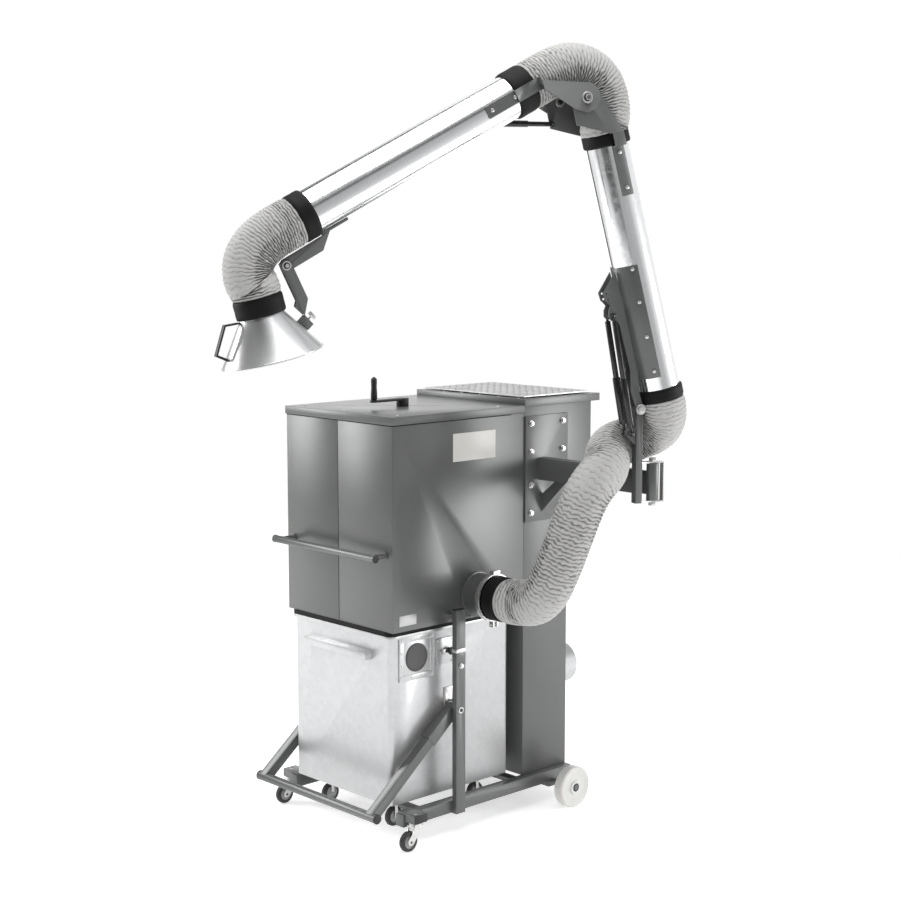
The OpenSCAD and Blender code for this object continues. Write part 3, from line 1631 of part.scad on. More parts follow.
module hood_knob() color(bright_steel) arm_frame()
  along(outline([knob_share], hood_bracket_len, hood_pivot)[0], knob_tilt) {
    cylinder(d = knob_d, h = knob_len);
    box([-knob_wing, -knob_t / 2, knob_len - knob_t], [2 * knob_wing, knob_t, 3 * knob_t]);
  }
knob_share = [-0.3745, -0.868];
knob_tilt = -46;
knob_d = 8;
knob_len = 16;
knob_wing = 14;
knob_t = 4;

// Points of the hood's half section about its axis, from the neck down to the lip
module hood_cone() color(bright_steel) arm_frame()
  along(hood_neck, 180 + hood_tilt) {
    rotate_extrude($fn = 96)
      polygon([
        [tube_r - hood_t, -neck_up],
        [tube_r, -neck_up],
        [tube_r, 0],
        [hood_mouth_d / 2, hood_h],
        [hood_mouth_d / 2 - hood_t, hood_h],
        [tube_r - hood_t, 0]
      ]);
    translate([0, 0, hood_h])
      rotate_extrude($fn = 96)
        translate([hood_mouth_d / 2 - hood_lip_d / 2, 0]) circle(d = hood_lip_d, $fn = 24);
  }
neck_up = 50;

module hood_cuff() color(black_plastic) arm_frame()
  along(hood_neck, hood_tilt)
    translate([0, 0, over])
      pipe(cuff_r, cuff_t - cuff_gap, hood_neck_len);

// Flat strip bent to a U, on the side away from the machine
handle_shares = [
  [-0.055, -0.03], [0, -0.03], [0.37, -0.09], [0.61, -0.91], [0.31, -1.04],
  [0.285, -0.98], [0.55, -0.87], [0.33, -0.13], [-0.045, -0.065]
];
handle_len = 121;
handle_from_neck_shares = [0.6777, -0.1488];
handle_at = hood_neck + handle_len * handle_from_neck_shares;

module hood_handle() color(black_plastic) arm_frame()
  flat_plate(outline(handle_shares, handle_len, handle_at), -hood_handle_w / 2, hood_handle_w);

// Hoses of the arm, their points in the arm's plane as shares of the hose's
// width, from the elbow's pin and from the hood's
elbow_bend_shares = [
  [0.5351, 0.4982], [0.0887, 0.6946], [-0.447, 0.5577], [-0.7268, 0.1411], [-0.7744, -0.3351]
];
hood_bend_shares = [[0.43, 0.5208], [0.7693, 0.1161], [0.7277, -0.3125]];
hose_lead = 38;
function in_plane(p) = [p[0], 0, p[1]];
elbow_route = concat(
  [in_plane(upper_foot - gap * upper_dir), in_plane(upper_foot - hose_lead * upper_dir)],
  [for (share = elbow_bend_shares) in_plane(elbow_at + hose_d * share)],
  [in_plane(lower_head + hose_lead * lower_dir), in_plane(lower_head + gap * lower_dir)]);
hood_cuff_top = hood_neck - (hood_neck_len + over + gap) * hood_dir;
hood_route = concat(
  [in_plane(upper_head + gap * upper_dir), in_plane(upper_head + hose_lead * upper_dir)],
  [for (share = hood_bend_shares) in_plane(hood_pivot + hose_d * share)],
  [in_plane(hood_cuff_top - hose_lead * hood_dir), in_plane(hood_cuff_top)]);

module elbow_hose() color(hose_grey) arm_frame()
  ribbed_hose(elbow_route, 0, 1, elbow_ribs, [0, 1, 0]);

module hood_hose() color(hose_grey) arm_frame()
  ribbed_hose(hood_route, 0, 1, hood_ribs, [0, 1, 0]);

in_place() chassis_frame();
in_place() frame_caps();
in_place() bin_gasket();
in_place() housing_left();
in_place() housing_right();
in_place() housing_lid();
in_place() tower_shell();
in_place() tower_lid();
in_place() lid_panel();
in_place() tube_sheet();
in_place() filter_cartridge();
in_place() filter_wiper();
in_place() crank_handle();
in_place() crank_grip();
in_place() fan_motor();
in_place() fan_impeller();
in_place() fan_scroll();
in_place() outlet_spigot();
in_place() inlet_spigot();
in_place() inlet_clamp();
in_place() inlet_cuff();
in_place() supply_hose_lower();
in_place() supply_hose_upper();
in_place() arm_console();
in_place() frame_bolts();
in_place() push_bar();
in_place() bin_tub();
in_place() port_frame();
in_place() bin_lift_plates();
in_place() bin_forks();
in_place() bin_wheels_front();
in_place() bin_wheels_rear();
in_place() lift_lever();
in_place() castor_fork_left();
in_place() castor_fork_right();
in_place() castor_wheel_left();
in_place() castor_wheel_right();
in_place() rear_wheel_left();
in_place() rear_wheel_right();
in_place() arm_post();
in_place() spring_sleeves();
in_place() spring_cylinders();
in_place() lower_tube();
in_place() lower_bracket();
in_place() lower_elbow_plates();
in_place() lower_cuffs();
in_place() lower_bolts();
in_place() elbow_hose();
in_place() upper_tube();
in_place() upper_elbow_plates();
in_place() hood_bracket();
in_place() upper_cuffs();
in_place() elbow_spring_sleeve();
in_place() elbow_spring_cylinder();
in_place() hood_hose();
in_place() hood_link();
in_place() hood_cone();
in_place() hood_cuff();
in_place() hood_handle();
in_place() hood_knob();
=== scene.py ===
import math

import bpy
from mathutils import Matrix, Vector, noise


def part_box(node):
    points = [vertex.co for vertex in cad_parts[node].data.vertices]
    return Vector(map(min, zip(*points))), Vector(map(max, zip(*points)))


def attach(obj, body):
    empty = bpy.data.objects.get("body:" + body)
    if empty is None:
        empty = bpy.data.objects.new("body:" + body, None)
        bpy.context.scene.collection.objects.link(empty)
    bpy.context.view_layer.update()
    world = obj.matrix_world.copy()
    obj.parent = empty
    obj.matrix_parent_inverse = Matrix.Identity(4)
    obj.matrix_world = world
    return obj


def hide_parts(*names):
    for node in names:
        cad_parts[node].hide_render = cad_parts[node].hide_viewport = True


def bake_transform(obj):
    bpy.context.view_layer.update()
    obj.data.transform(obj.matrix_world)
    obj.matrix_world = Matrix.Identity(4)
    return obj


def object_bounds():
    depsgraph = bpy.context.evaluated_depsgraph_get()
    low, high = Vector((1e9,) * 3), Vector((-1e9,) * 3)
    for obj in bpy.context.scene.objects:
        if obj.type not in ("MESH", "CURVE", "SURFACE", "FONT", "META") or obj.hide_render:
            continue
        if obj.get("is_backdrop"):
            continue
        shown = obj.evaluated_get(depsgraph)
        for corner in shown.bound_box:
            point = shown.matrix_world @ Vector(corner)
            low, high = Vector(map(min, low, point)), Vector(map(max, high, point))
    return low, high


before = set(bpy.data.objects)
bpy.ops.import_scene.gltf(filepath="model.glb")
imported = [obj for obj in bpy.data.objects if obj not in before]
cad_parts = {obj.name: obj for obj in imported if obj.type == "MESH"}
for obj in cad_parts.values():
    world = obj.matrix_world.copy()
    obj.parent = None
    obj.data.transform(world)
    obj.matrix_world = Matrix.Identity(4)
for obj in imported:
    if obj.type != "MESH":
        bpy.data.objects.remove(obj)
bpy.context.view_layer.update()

# Camera
# It stands 6 m away to the right of the machine's front, at a height between
# the lid and the elbow, with a long lens, as the photograph was taken.
camera_data = bpy.data.cameras.new("camera")
camera_data.sensor_width = 36
camera_data.lens = 67.13
camera = bpy.data.objects.new("camera", camera_data)
camera.location = (4.4465, -4.0075, 2.169)
camera.rotation_euler = Vector((-0.7244, 0.6783, -0.1232)).to_track_quat("-Z", "Y").to_euler()
bpy.context.scene.collection.objects.link(camera)
bpy.context.scene.camera = camera
bpy.context.scene.view_settings.view_transform = "Standard"


# Studio
# A pale floor without an edge, a bright even surround, and soft boxes from the
# left, from above and from behind, which put the streaks on the bright tubes.
def nothing_selected():
    if bpy.context.object and bpy.context.object.mode != "OBJECT":
        bpy.ops.object.mode_set(mode="OBJECT")
    bpy.ops.object.select_all(action="DESELECT")


def add_node(tree, kind, inputs=None, **settings):
    """A shader node with its settings and the values of its sockets."""
    made = tree.nodes.new(kind)
    for name, value in settings.items():
        setattr(made, name, value)
    for name, value in (inputs or {}).items():
        made.inputs[name].default_value = value
    return made


def new_finish(name, colour, roughness, metallic=0.0, **sockets):
    """A material with its Principled BSDF, ready for the nodes that vary it."""
    made = bpy.data.materials.new(name)
    made.use_nodes = True
    shader = made.node_tree.nodes["Principled BSDF"]
    shader.inputs["Base Color"].default_value = (*colour, 1)
    shader.inputs["Roughness"].default_value = roughness
    shader.inputs["Metallic"].default_value = metallic
    for socket, value in sockets.items():
        shader.inputs[socket.replace("_", " ")].default_value = value
    made.diffuse_color = (*colour, 1)
    return made, made.node_tree, shader


MIX_A, MIX_B, MIX_RESULT = 6, 7, 2
floor_finish, tree, shader = new_finish("studio_floor", (0.9, 0.9, 0.9), 0.7)
speckle = add_node(tree, "ShaderNodeTexNoise", {"Scale": 3.0, "Detail": 2.0})
shade = add_node(tree, "ShaderNodeMapRange", {"To Min": 0.88, "To Max": 0.9})
tree.links.new(speckle.outputs["Fac"], shade.inputs["Value"])
tree.links.new(shade.outputs["Result"], shader.inputs["Base Color"])
shader.inputs["Emission Color"].default_value = (1, 1, 1, 1)
shader.inputs["Emission Strength"].default_value = 0.5
nothing_selected()
bpy.ops.mesh.primitive_plane_add(size=12, location=(0, 0, 0))
floor = bpy.context.object
floor.name = "studio_floor"
floor.data.materials.append(floor_finish)
floor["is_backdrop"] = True

world = bpy.data.worlds.new("studio")
world.use_nodes = True
bpy.context.scene.world = world
sky = world.node_tree
even_light = sky.nodes["Background"]
even_light.inputs["Color"].default_value = (1, 1, 1, 1)
even_light.inputs["Strength"].default_value = 0.5
backdrop = add_node(sky, "ShaderNodeBackground", {"Color": (1, 1, 1, 1), "Strength": 1.0})
mirrored = add_node(sky, "ShaderNodeBackground", {"Strength": 1.0})
where = add_node(sky, "ShaderNodeTexCoord")
parts = add_node(sky, "ShaderNodeSeparateXYZ")
sky.links.new(where.outputs["Generated"], parts.inputs["Vector"])
around = add_node(sky, "ShaderNodeMath", operation="ARCTAN2")
sky.links.new(parts.outputs["Y"], around.inputs[0])
sky.links.new(parts.outputs["X"], around.inputs[1])
full_circle = add_node(sky, "ShaderNodeMapRange", {"From Min": -math.pi, "From Max": math.pi})
sky.links.new(around.outputs["Value"], full_circle.inputs["Value"])


def grey_ramp(tree, stops):
    """A colour ramp of greys, by place and brightness."""
    ramp = add_node(tree, "ShaderNodeValToRGB")
    while len(ramp.color_ramp.elements) < len(stops):
        ramp.color_ramp.elements.new(0.5)
    for element, (at, grey) in zip(ramp.color_ramp.elements, stops):
        element.position = at
        element.color = (grey, grey, grey, 1)
    return ramp


# What the bright metal mirrors: screens and dark flags round the room, as
# shares of the circle from the machine's left past its front, and then the
# tones from the floor up to the ceiling
screens = grey_ramp(sky, [
    (0.0, 0.85), (0.08, 0.8), (0.13, 0.45), (0.2, 0.38), (0.25, 0.4), (0.28, 0.07), (0.36, 0.05), (0.39, 0.4),
    (0.5, 0.5), (0.56, 0.85), (0.72, 0.95), (0.82, 1.1), (0.86, 1.7), (0.92, 1.7), (0.95, 0.12), (0.975, 0.15)])
sky.links.new(full_circle.outputs["Result"], screens.inputs["Fac"])
ceiling = grey_ramp(sky, [
    (0.0, 1.0), (0.3, 0.95), (0.38, 0.3), (0.46, 0.28), (0.56, 0.9), (0.74, 0.95), (0.86, 0.6), (1.0, 0.55)])
sky.links.new(parts.outputs["Z"], ceiling.inputs["Fac"])
both = add_node(sky, "ShaderNodeMix", {"Factor": 1.0}, data_type="RGBA", blend_type="MULTIPLY")
sky.links.new(screens.outputs["Color"], both.inputs[MIX_A])
sky.links.new(ceiling.outputs["Color"], both.inputs[MIX_B])
sky.links.new(both.outputs[MIX_RESULT], mirrored.inputs["Color"])
ray = add_node(sky, "ShaderNodeLightPath")
for_mirrors = add_node(sky, "ShaderNodeMixShader")
for_camera = add_node(sky, "ShaderNodeMixShader")
sky.links.new(ray.outputs["Is Glossy Ray"], for_mirrors.inputs["Fac"])
sky.links.new(even_light.outputs["Background"], for_mirrors.inputs[1])
sky.links.new(mirrored.outputs["Background"], for_mirrors.inputs[2])
sky.links.new(ray.outputs["Is Camera Ray"], for_camera.inputs["Fac"])
sky.links.new(for_mirrors.outputs["Shader"], for_camera.inputs[1])
sky.links.new(backdrop.outputs["Background"], for_camera.inputs[2])
sky.links.new(for_camera.outputs["Shader"], sky.nodes["World Output"].inputs["Surface"])


def soft_box(name, place, target, size, power):
    light = bpy.data.lights.new(name, "AREA")
    light.shape = "RECTANGLE"
    light.size, light.size_y = size
    light.energy = power
    lamp = bpy.data.objects.new(name, light)
    lamp.location = place
    lamp.rotation_euler = (Vector(target) - Vector(place)).to_track_quat("-Z", "Y").to_euler()
    bpy.context.scene.collection.objects.link(lamp)


soft_box("box_left", (-5.0, -3.0, 3.0), (0, 0, 1.1), (2.0, 3.4), 210)
soft_box("box_above", (0.6, -0.8, 5.6), (0, 0, 0.8), (4.0, 4.0), 190)
soft_box("box_behind", (3.5, 3.8, 1.4), (0, 0.2, 1.2), (2.2, 2.0), 110)


# Chassis
# Square steel tube rails, cross members and outriggers, welded and powder
# coated in a mid grey with a fine orange peel, worn lighter where it is handled.
def new_group(name, inputs, outputs):
    """A node group that several finishes place, each with its own values."""
    group = bpy.data.node_groups.new(name, "ShaderNodeTree")
    group.interface.new_socket("Vector", in_out="INPUT", socket_type="NodeSocketVector")
    for socket, value in inputs.items():
        made = group.interface.new_socket(socket, in_out="INPUT", socket_type="NodeSocketFloat")
        made.default_value = value
    for socket in outputs:
        group.interface.new_socket(socket, in_out="OUTPUT", socket_type="NodeSocketFloat")
    return group, group.nodes.new("NodeGroupInput"), group.nodes.new("NodeGroupOutput")


grain_group, ends, out = new_group("fine_grain", {"Scale": 800.0, "Detail": 2.0}, ["Height"])
tooth = add_node(grain_group, "ShaderNodeTexNoise", {"Roughness": 0.6})
grain_group.links.new(ends.outputs["Vector"], tooth.inputs["Vector"])
grain_group.links.new(ends.outputs["Scale"], tooth.inputs["Scale"])
grain_group.links.new(ends.outputs["Detail"], tooth.inputs["Detail"])
grain_group.links.new(tooth.outputs["Fac"], out.inputs["Height"])

marks_group, ends, out = new_group("handling_marks", {"Scale": 4.0, "From": 0.5, "To": 0.75}, ["Mask"])
cloud = add_node(marks_group, "ShaderNodeTexNoise", {"Detail": 6.0, "Roughness": 0.62, "Distortion": 0.4})
window = add_node(marks_group, "ShaderNodeMapRange")
window.clamp = True
for socket in ("Vector", "Scale"):
    marks_group.links.new(ends.outputs[socket], cloud.inputs[socket])
marks_group.links.new(cloud.outputs["Fac"], window.inputs["Value"])
marks_group.links.new(ends.outputs["From"], window.inputs["From Min"])
marks_group.links.new(ends.outputs["To"], window.inputs["From Max"])
marks_group.links.new(window.outputs["Result"], out.inputs["Mask"])


def vary(finish, effect, values, output, roughness=None, shades=None, bump=None,
         coords="Object", stretch=None):
    """Places a shared effect in a finish: it may vary its roughness, its colour
    between two shades, and its relief by a strength and a depth in metres. A
    stretch is the turn and the scales that the pattern takes first."""
    tree, shader = finish[1:]
    where = add_node(tree, "ShaderNodeTexCoord")
    source = where.outputs[coords]
    if stretch:
        turned_place = add_node(tree, "ShaderNodeMapping")
        turned_place.inputs["Rotation"].default_value = stretch[0]
        turned_place.inputs["Scale"].default_value = stretch[1]
        tree.links.new(source, turned_place.inputs["Vector"])
        source = turned_place.outputs["Vector"]
    group = add_node(tree, "ShaderNodeGroup", node_tree=effect)
    for name, value in values.items():
        group.inputs[name].default_value = value
    tree.links.new(source, group.inputs["Vector"])
    if roughness:
        spread = add_node(tree, "ShaderNodeMapRange", {"To Min": roughness[0], "To Max": roughness[1]})
        tree.links.new(group.outputs[output], spread.inputs["Value"])
        tree.links.new(spread.outputs["Result"], shader.inputs["Roughness"])
    if shades:
        mix = add_node(tree, "ShaderNodeMix", data_type="RGBA")
        mix.inputs[MIX_A].default_value = (*shades[0], 1)
        mix.inputs[MIX_B].default_value = (*shades[1], 1)
        if shader.inputs["Base Color"].links:
            tree.links.new(shader.inputs["Base Color"].links[0].from_socket, mix.inputs[MIX_A])
        tree.links.new(group.outputs[output], mix.inputs["Factor"])
        tree.links.new(mix.outputs[MIX_RESULT], shader.inputs["Base Color"])
    if bump:
        relief = add_node(tree, "ShaderNodeBump", {"Strength": bump[0], "Distance": bump[1]})
        tree.links.new(group.outputs[output], relief.inputs["Height"])
        if shader.inputs["Normal"].links:
            tree.links.new(shader.inputs["Normal"].links[0].from_socket, relief.inputs["Normal"])
        tree.links.new(relief.outputs["Normal"], shader.inputs["Normal"])


grey_coat = new_finish("grey_powder_coat", (0.112, 0.115, 0.114), 0.36, 0.35)
vary(grey_coat, marks_group, {"Scale": 2.2, "From": 0.45, "To": 0.8}, "Mask",
     roughness=(0.33, 0.42), shades=((0.11, 0.113, 0.112), (0.125, 0.128, 0.127)))
vary(grey_coat, grain_group, {"Scale": 1400.0, "Detail": 1.0}, "Height", bump=(0.25, 0.0002))
SMOOTH_BELOW, EDGE_ABOVE = math.radians(35), math.radians(38)
MERGED, FLAT = 0.00001, math.radians(0.6)


def new_piece(name, mesh):
    """An object of its own, selected and active, ready for the mesh tools."""
    nothing_selected()
    piece = bpy.data.objects.new(name, mesh)
    bpy.context.scene.collection.objects.link(piece)
    piece.select_set(True)
    bpy.context.view_layer.objects.active = piece
    return piece


def ease(piece, width):
    """Bevels the sharp edges of the active piece and smooths the rest."""
    if width:
        bevel = piece.modifiers.new("edge", "BEVEL")
        bevel.width = width
        bevel.segments = 2
        bevel.limit_method = "ANGLE"
        bevel.angle_limit = EDGE_ABOVE
        bpy.ops.object.modifier_apply(modifier=bevel.name)
    bpy.ops.object.shade_smooth_by_angle(angle=SMOOTH_BELOW)


def dressed(node, finishes, body, edge=0.0006, choose=None):
    """A copy of a CAD node, merged, with its edges eased and its finish on."""
    piece = new_piece(node + "_dressed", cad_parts[node].data.copy())
    bpy.ops.object.mode_set(mode="EDIT")
    bpy.ops.mesh.select_all(action="SELECT")
    bpy.ops.mesh.remove_doubles(threshold=MERGED)
    bpy.ops.mesh.dissolve_limited(angle_limit=FLAT)
    bpy.ops.object.mode_set(mode="OBJECT")
    ease(piece, edge)
    piece.data.materials.clear()
    for finish in finishes:
        piece.data.materials.append(finish[0])
    for face in piece.data.polygons:
        face.material_index = choose(face.center, face.normal) if choose else 0
    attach(piece, body)
    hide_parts(node)


dressed("chassis_frame", [grey_coat], "machine", 0.0015)

black_plastic = new_finish("black_plastic", (0.011, 0.011, 0.012), 0.5)
vary(black_plastic, grain_group, {"Scale": 900.0, "Detail": 2.0}, "Height",
     roughness=(0.42, 0.6), bump=(0.3, 0.0003))
dressed("frame_caps", [black_plastic], "machine", 0.0012)


# Wheels
# Castors have a grey plastic hub and a black rubber tyre in a zinc fork. The
# rear wheels are white cast nylon discs, turned, with a raised hub and a cap.
FRONT_X, FRONT_Y = 245.5, 172.5
TO_THE_RIGHT = (1, 0, 0)
SPUN_MERGED = 0.000005


def spot(x, y, z):
    """A place in millimetres from the floor under the middle of the housing's front."""
    return Vector((x - FRONT_X, y - FRONT_Y, z)) / 1000


def turned(name, profile, place, finishes, body, nodes=(), steps=64, choose=None):
    """Spins a closed half section, in millimetres of radius and height, about
    the Z axis, and sets it in its place by a matrix."""
    mesh = bpy.data.meshes.new(name)
    corners = [(r / 1000, 0, h / 1000) for r, h in profile]
    mesh.from_pydata(corners, [(i, (i + 1) % len(corners)) for i in range(len(corners))], [])
    piece = new_piece(name, mesh)
    bpy.ops.object.mode_set(mode="EDIT")
    bpy.ops.mesh.select_all(action="SELECT")
    bpy.ops.mesh.spin(steps=steps, angle=2 * math.pi, center=(0, 0, 0), axis=(0, 0, 1))
    bpy.ops.mesh.select_all(action="SELECT")
    bpy.ops.mesh.remove_doubles(threshold=SPUN_MERGED)
    bpy.ops.mesh.normals_make_consistent(inside=False)
    bpy.ops.object.mode_set(mode="OBJECT")
    ease(piece, 0)
    for finish in finishes:
        piece.data.materials.append(finish[0])
    for face in piece.data.polygons:
        face.material_index = choose(face.center * 1000) if choose else 0
    piece.data.transform(place)
    if place.determinant() < 0:
        piece.data.flip_normals()
    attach(piece, body)
    if nodes:
        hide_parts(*nodes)
    return piece


def facing(place, direction):
    """The matrix that stands a turned piece at a place, its axis along a direction."""
    return Matrix.Translation(place) @ Vector(direction).to_track_quat("Z", "Y").to_matrix().to_4x4()


zinc = new_finish("bright_zinc", (0.62, 0.62, 0.61), 0.3, 0.9)
vary(zinc, marks_group, {"Scale": 14.0, "From": 0.3, "To": 0.8}, "Mask",
     roughness=(0.22, 0.42), shades=((0.66, 0.66, 0.65), (0.5, 0.5, 0.49)))
vary(zinc, grain_group, {"Scale": 500.0, "Detail": 3.0}, "Height", bump=(0.15, 0.0002))
tyre_rubber = new_finish("tyre_rubber", (0.02, 0.02, 0.021), 0.62)
vary(tyre_rubber, grain_group, {"Scale": 700.0, "Detail": 3.0}, "Height",
     roughness=(0.5, 0.75), bump=(0.4, 0.0004))
hub_plastic = new_finish("hub_plastic", (0.3, 0.3, 0.3), 0.45)
vary(hub_plastic, grain_group, {"Scale": 300.0, "Detail": 2.0}, "Height",
     roughness=(0.38, 0.52), bump=(0.15, 0.0002))
white_nylon = new_finish("white_nylon", (0.6, 0.6, 0.585), 0.42, Subsurface_Weight=0.08)
vary(white_nylon, marks_group, {"Scale": 9.0, "From": 0.45, "To": 0.85}, "Mask",
     roughness=(0.36, 0.55), shades=((0.62, 0.62, 0.6), (0.54, 0.535, 0.51)))
SIDES = (("left", -1), ("right", 1))
CASTOR_R, CASTOR_W, CASTOR_BORE, TYRE_FROM = 37.5, 24, 5.4, 23.5


def both_faces(width, half):
    """Closed half section of a wheel, from the depth of its face at each radius."""
    w = width / 2
    return [(r, -w + deep) for r, deep in half] + [(r, w - deep) for r, deep in reversed(half)]


def castor_roller(name, place, body, node):
    """Rounded rubber tread on a plastic hub with a sunk face."""
    r, bore = CASTOR_R, CASTOR_BORE
    section = both_faces(CASTOR_W, [
        (bore, 0), (bore + 7, 0), (bore + 9, 3), (r - 15, 4), (r - 13, 1), (r - 6, 0.6), (r - 2, 3), (r, 8)])
    turned(name, section, facing(place, TO_THE_RIGHT), [tyre_rubber, hub_plastic], body, [node],
           choose=lambda c: 0 if math.hypot(c.x, c.y) > TYRE_FROM else 1)


for side, sign in SIDES:
    castor_roller("castor_wheel_" + side + "_turned", spot(sign * 362, 15, CASTOR_R), "castor_roller_" + side,
                  "castor_wheel_" + side)
    dressed("castor_fork_" + side, [zinc], "castor_" + side, 0.0007)
for row, body, y in (("front", "bin_wheels_in_front", 100), ("rear", "bin_wheels_behind", 514)):
    for number, x in enumerate((-185, 185)):
        castor_roller("bin_wheel_%s_%d" % (row, number), spot(x, y, 67.5), body, "bin_wheels_" + row)
dressed("bin_forks", [zinc], "bin", 0.0006)

for side, sign in SIDES:
    low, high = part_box("rear_wheel_" + side)
    middle = (low + high) / 2
    outer_face = Vector((high.x if sign > 0 else low.x, middle.y, middle.z))
    turned("rear_wheel_" + side + "_turned",
           both_faces((high.x - low.x) * 1000, [
               (10.3, 0), (26, 0), (27, 4), (30, 5), (60, 6), (66, 3), (74, 2.5), (79, 6), (80, 11)]),
           facing(middle, (sign, 0, 0)), [white_nylon], "big_wheel_" + side, ["rear_wheel_" + side],
           steps=96)
    turned("rear_wheel_cap_" + side, [(0, 0), (16, 0), (16, 0.3), (15, 0.7), (0, 0.7)],
           facing(outer_face + Vector((sign * 0.0002, 0, 0)), (sign, 0, 0)),
           [black_plastic], "machine", steps=48)


# Dust bin
# Galvanised sheet box with a folded rim, a riveted port with its cover, a flat
# bar handle, slotted lifting plates inside the lever, and a rubber seal above.
spangle_group, ends, out = new_group("zinc_spangle", {"Scale": 60.0}, ["Tone"])
warp = add_node(spangle_group, "ShaderNodeTexNoise", {"Scale": 30.0, "Detail": 2.0})
push = add_node(spangle_group, "ShaderNodeVectorMath", {"Scale": 0.03}, operation="SCALE")
place = add_node(spangle_group, "ShaderNodeVectorMath", operation="ADD")
flakes = add_node(spangle_group, "ShaderNodeTexVoronoi", feature="F1")
tone = add_node(spangle_group, "ShaderNodeSeparateColor")
spangle_group.links.new(ends.outputs["Vector"], warp.inputs["Vector"])
spangle_group.links.new(warp.outputs["Color"], push.inputs[0])
spangle_group.links.new(ends.outputs["Vector"], place.inputs[0])
spangle_group.links.new(push.outputs["Vector"], place.inputs[1])
spangle_group.links.new(place.outputs["Vector"], flakes.inputs["Vector"])
spangle_group.links.new(ends.outputs["Scale"], flakes.inputs["Scale"])
spangle_group.links.new(flakes.outputs["Color"], tone.inputs["Color"])
spangle_group.links.new(tone.outputs["Red"], out.inputs["Tone"])

galvanised = new_finish("galvanised_sheet", (0.5, 0.505, 0.51), 0.32, 0.6)
vary(galvanised, spangle_group, {"Scale": 55.0}, "Tone",
     roughness=(0.28, 0.36), shades=((0.51, 0.515, 0.52), (0.48, 0.485, 0.49)))
vary(galvanised, marks_group, {"Scale": 2.0, "From": 0.55, "To": 0.9}, "Mask", bump=(0.08, 0.002))
dressed("bin_tub", [galvanised], "bin", 0.0008)


def block(name, low, high, finish, body, edge=0.0008, nodes=()):
    """A bevelled box between two corners, in millimetres of the machine."""
    nothing_selected()
    low, high = spot(*low), spot(*high)
    bpy.ops.mesh.primitive_cube_add(size=1, location=(0, 0, 0))
    piece = bpy.context.object
    piece.name = name
    piece.data.transform(Matrix.Translation((low + high) / 2) @ Matrix.Diagonal((*(high - low), 1)))
    ease(piece, edge)
    piece.data.materials.append(finish[0])
    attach(piece, body)
    if nodes:
        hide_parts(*nodes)


def studs(name, places, direction, profile, finish, body, steps=24):
    """Equal small turned pieces, such as rivets, screw heads and washers, at
    several places: the profile gives radius and height in millimetres."""
    turn = Vector(direction).to_track_quat("Z", "Y").to_matrix()
    points, faces = [], []
    for place in places:
        first = len(points)
        for radius, height in profile:
            for k in range(steps):
                angle = 2 * math.pi * k / steps
                around_axis = Vector((radius * math.cos(angle), radius * math.sin(angle), height)) / 1000
                points.append(place + turn @ around_axis)
        for ring in range(first, first + (len(profile) - 1) * steps, steps):
            for k in range(steps):
                m = (k + 1) % steps
                faces.append((ring + k, ring + m, ring + steps + m, ring + steps + k))
        faces.append(tuple(first + k for k in reversed(range(steps))))
        faces.append(tuple(len(points) - steps + k for k in range(steps)))
    mesh = bpy.data.meshes.new(name)
    mesh.from_pydata(points, [], faces)
    mesh.materials.append(finish[0])
    piece = new_piece(name, mesh)
    ease(piece, 0)
    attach(piece, body)


def button(radius, height):
    """The domed head of a screw, standing a hair into what it holds."""
    return [(radius, -0.2), (radius, height * 0.3), (radius * 0.86, height * 0.72),
            (radius * 0.5, height), (radius * 0.3, height)]


BIN_SIDE, PORT_Y = 275, 132.5
PORT_Z = sum(corner.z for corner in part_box("port_frame")) * 500
PORT_W, PORT_H, BORDER_W, BORDER_H, BORDER_END = 83.5, 81.5, 63, 61, 61.2
RIVET = button(3.6, 2.2)
RIVET_SHARES = (
    (-0.95, -0.95), (-0.33, -0.97), (0.33, -0.97), (0.95, -0.95), (-0.97, -0.33), (-0.97, 0.33),
    (0.97, -0.33), (0.97, 0.33), (-0.95, 0.95), (-0.33, 0.97), (0.33, 0.97), (0.95, 0.95))


def by_port(out, along, up):
    """A place on the bin's side: out from it, then along and up from the port's middle."""
    return BIN_SIDE + out, PORT_Y + along, PORT_Z + up


block("port_plate", by_port(0.1, -PORT_W, -PORT_H), by_port(2.1, PORT_W, PORT_H),
      galvanised, "bin", nodes=["port_frame"])
for number, (low, high) in enumerate((
        ((-PORT_W, -PORT_H), (PORT_W, -BORDER_H)), ((-PORT_W, BORDER_H), (PORT_W, PORT_H)),
        ((-PORT_W, -BORDER_END), (-BORDER_W, BORDER_END)), ((BORDER_W, -BORDER_END), (PORT_W, BORDER_END)))):
    block("port_border_%d" % number, by_port(2, *low), by_port(4, *high), galvanised, "bin", 0.0005)
cover_grey = new_finish("port_cover", (0.05, 0.05, 0.052), 0.45)
vary(cover_grey, grain_group, {"Scale": 500.0, "Detail": 3.0}, "Height", roughness=(0.4, 0.55), bump=(0.2, 0.0003))
studs("port_cover", [spot(*by_port(2, 0, 0))], TO_THE_RIGHT,
      [(52.5, 0), (52.5, 2.4), (51.3, 3.2), (44, 3.4), (43, 2.6), (4, 2.6)],
      cover_grey, "bin", steps=72)
studs("port_rivets", [spot(*by_port(4, 73.5 * along, 71.5 * up)) for along, up in RIVET_SHARES],
      TO_THE_RIGHT, RIVET, zinc, "bin")
block("toggle_plate", by_port(0.1, 95.5, -49), by_port(3, 181.5, 49), galvanised, "bin")
studs("toggle_rivets", [spot(*by_port(3, along, up)) for along in (103, 174) for up in (-41, 41)],
      TO_THE_RIGHT, RIVET, zinc, "bin")
studs("toggle_knob", [spot(*by_port(3, 158, 0))], TO_THE_RIGHT,
      [(11, 0), (11, 12), (14, 13), (15, 16), (14, 19), (9, 20.5), (3, 21)],
      black_plastic, "bin", steps=32)
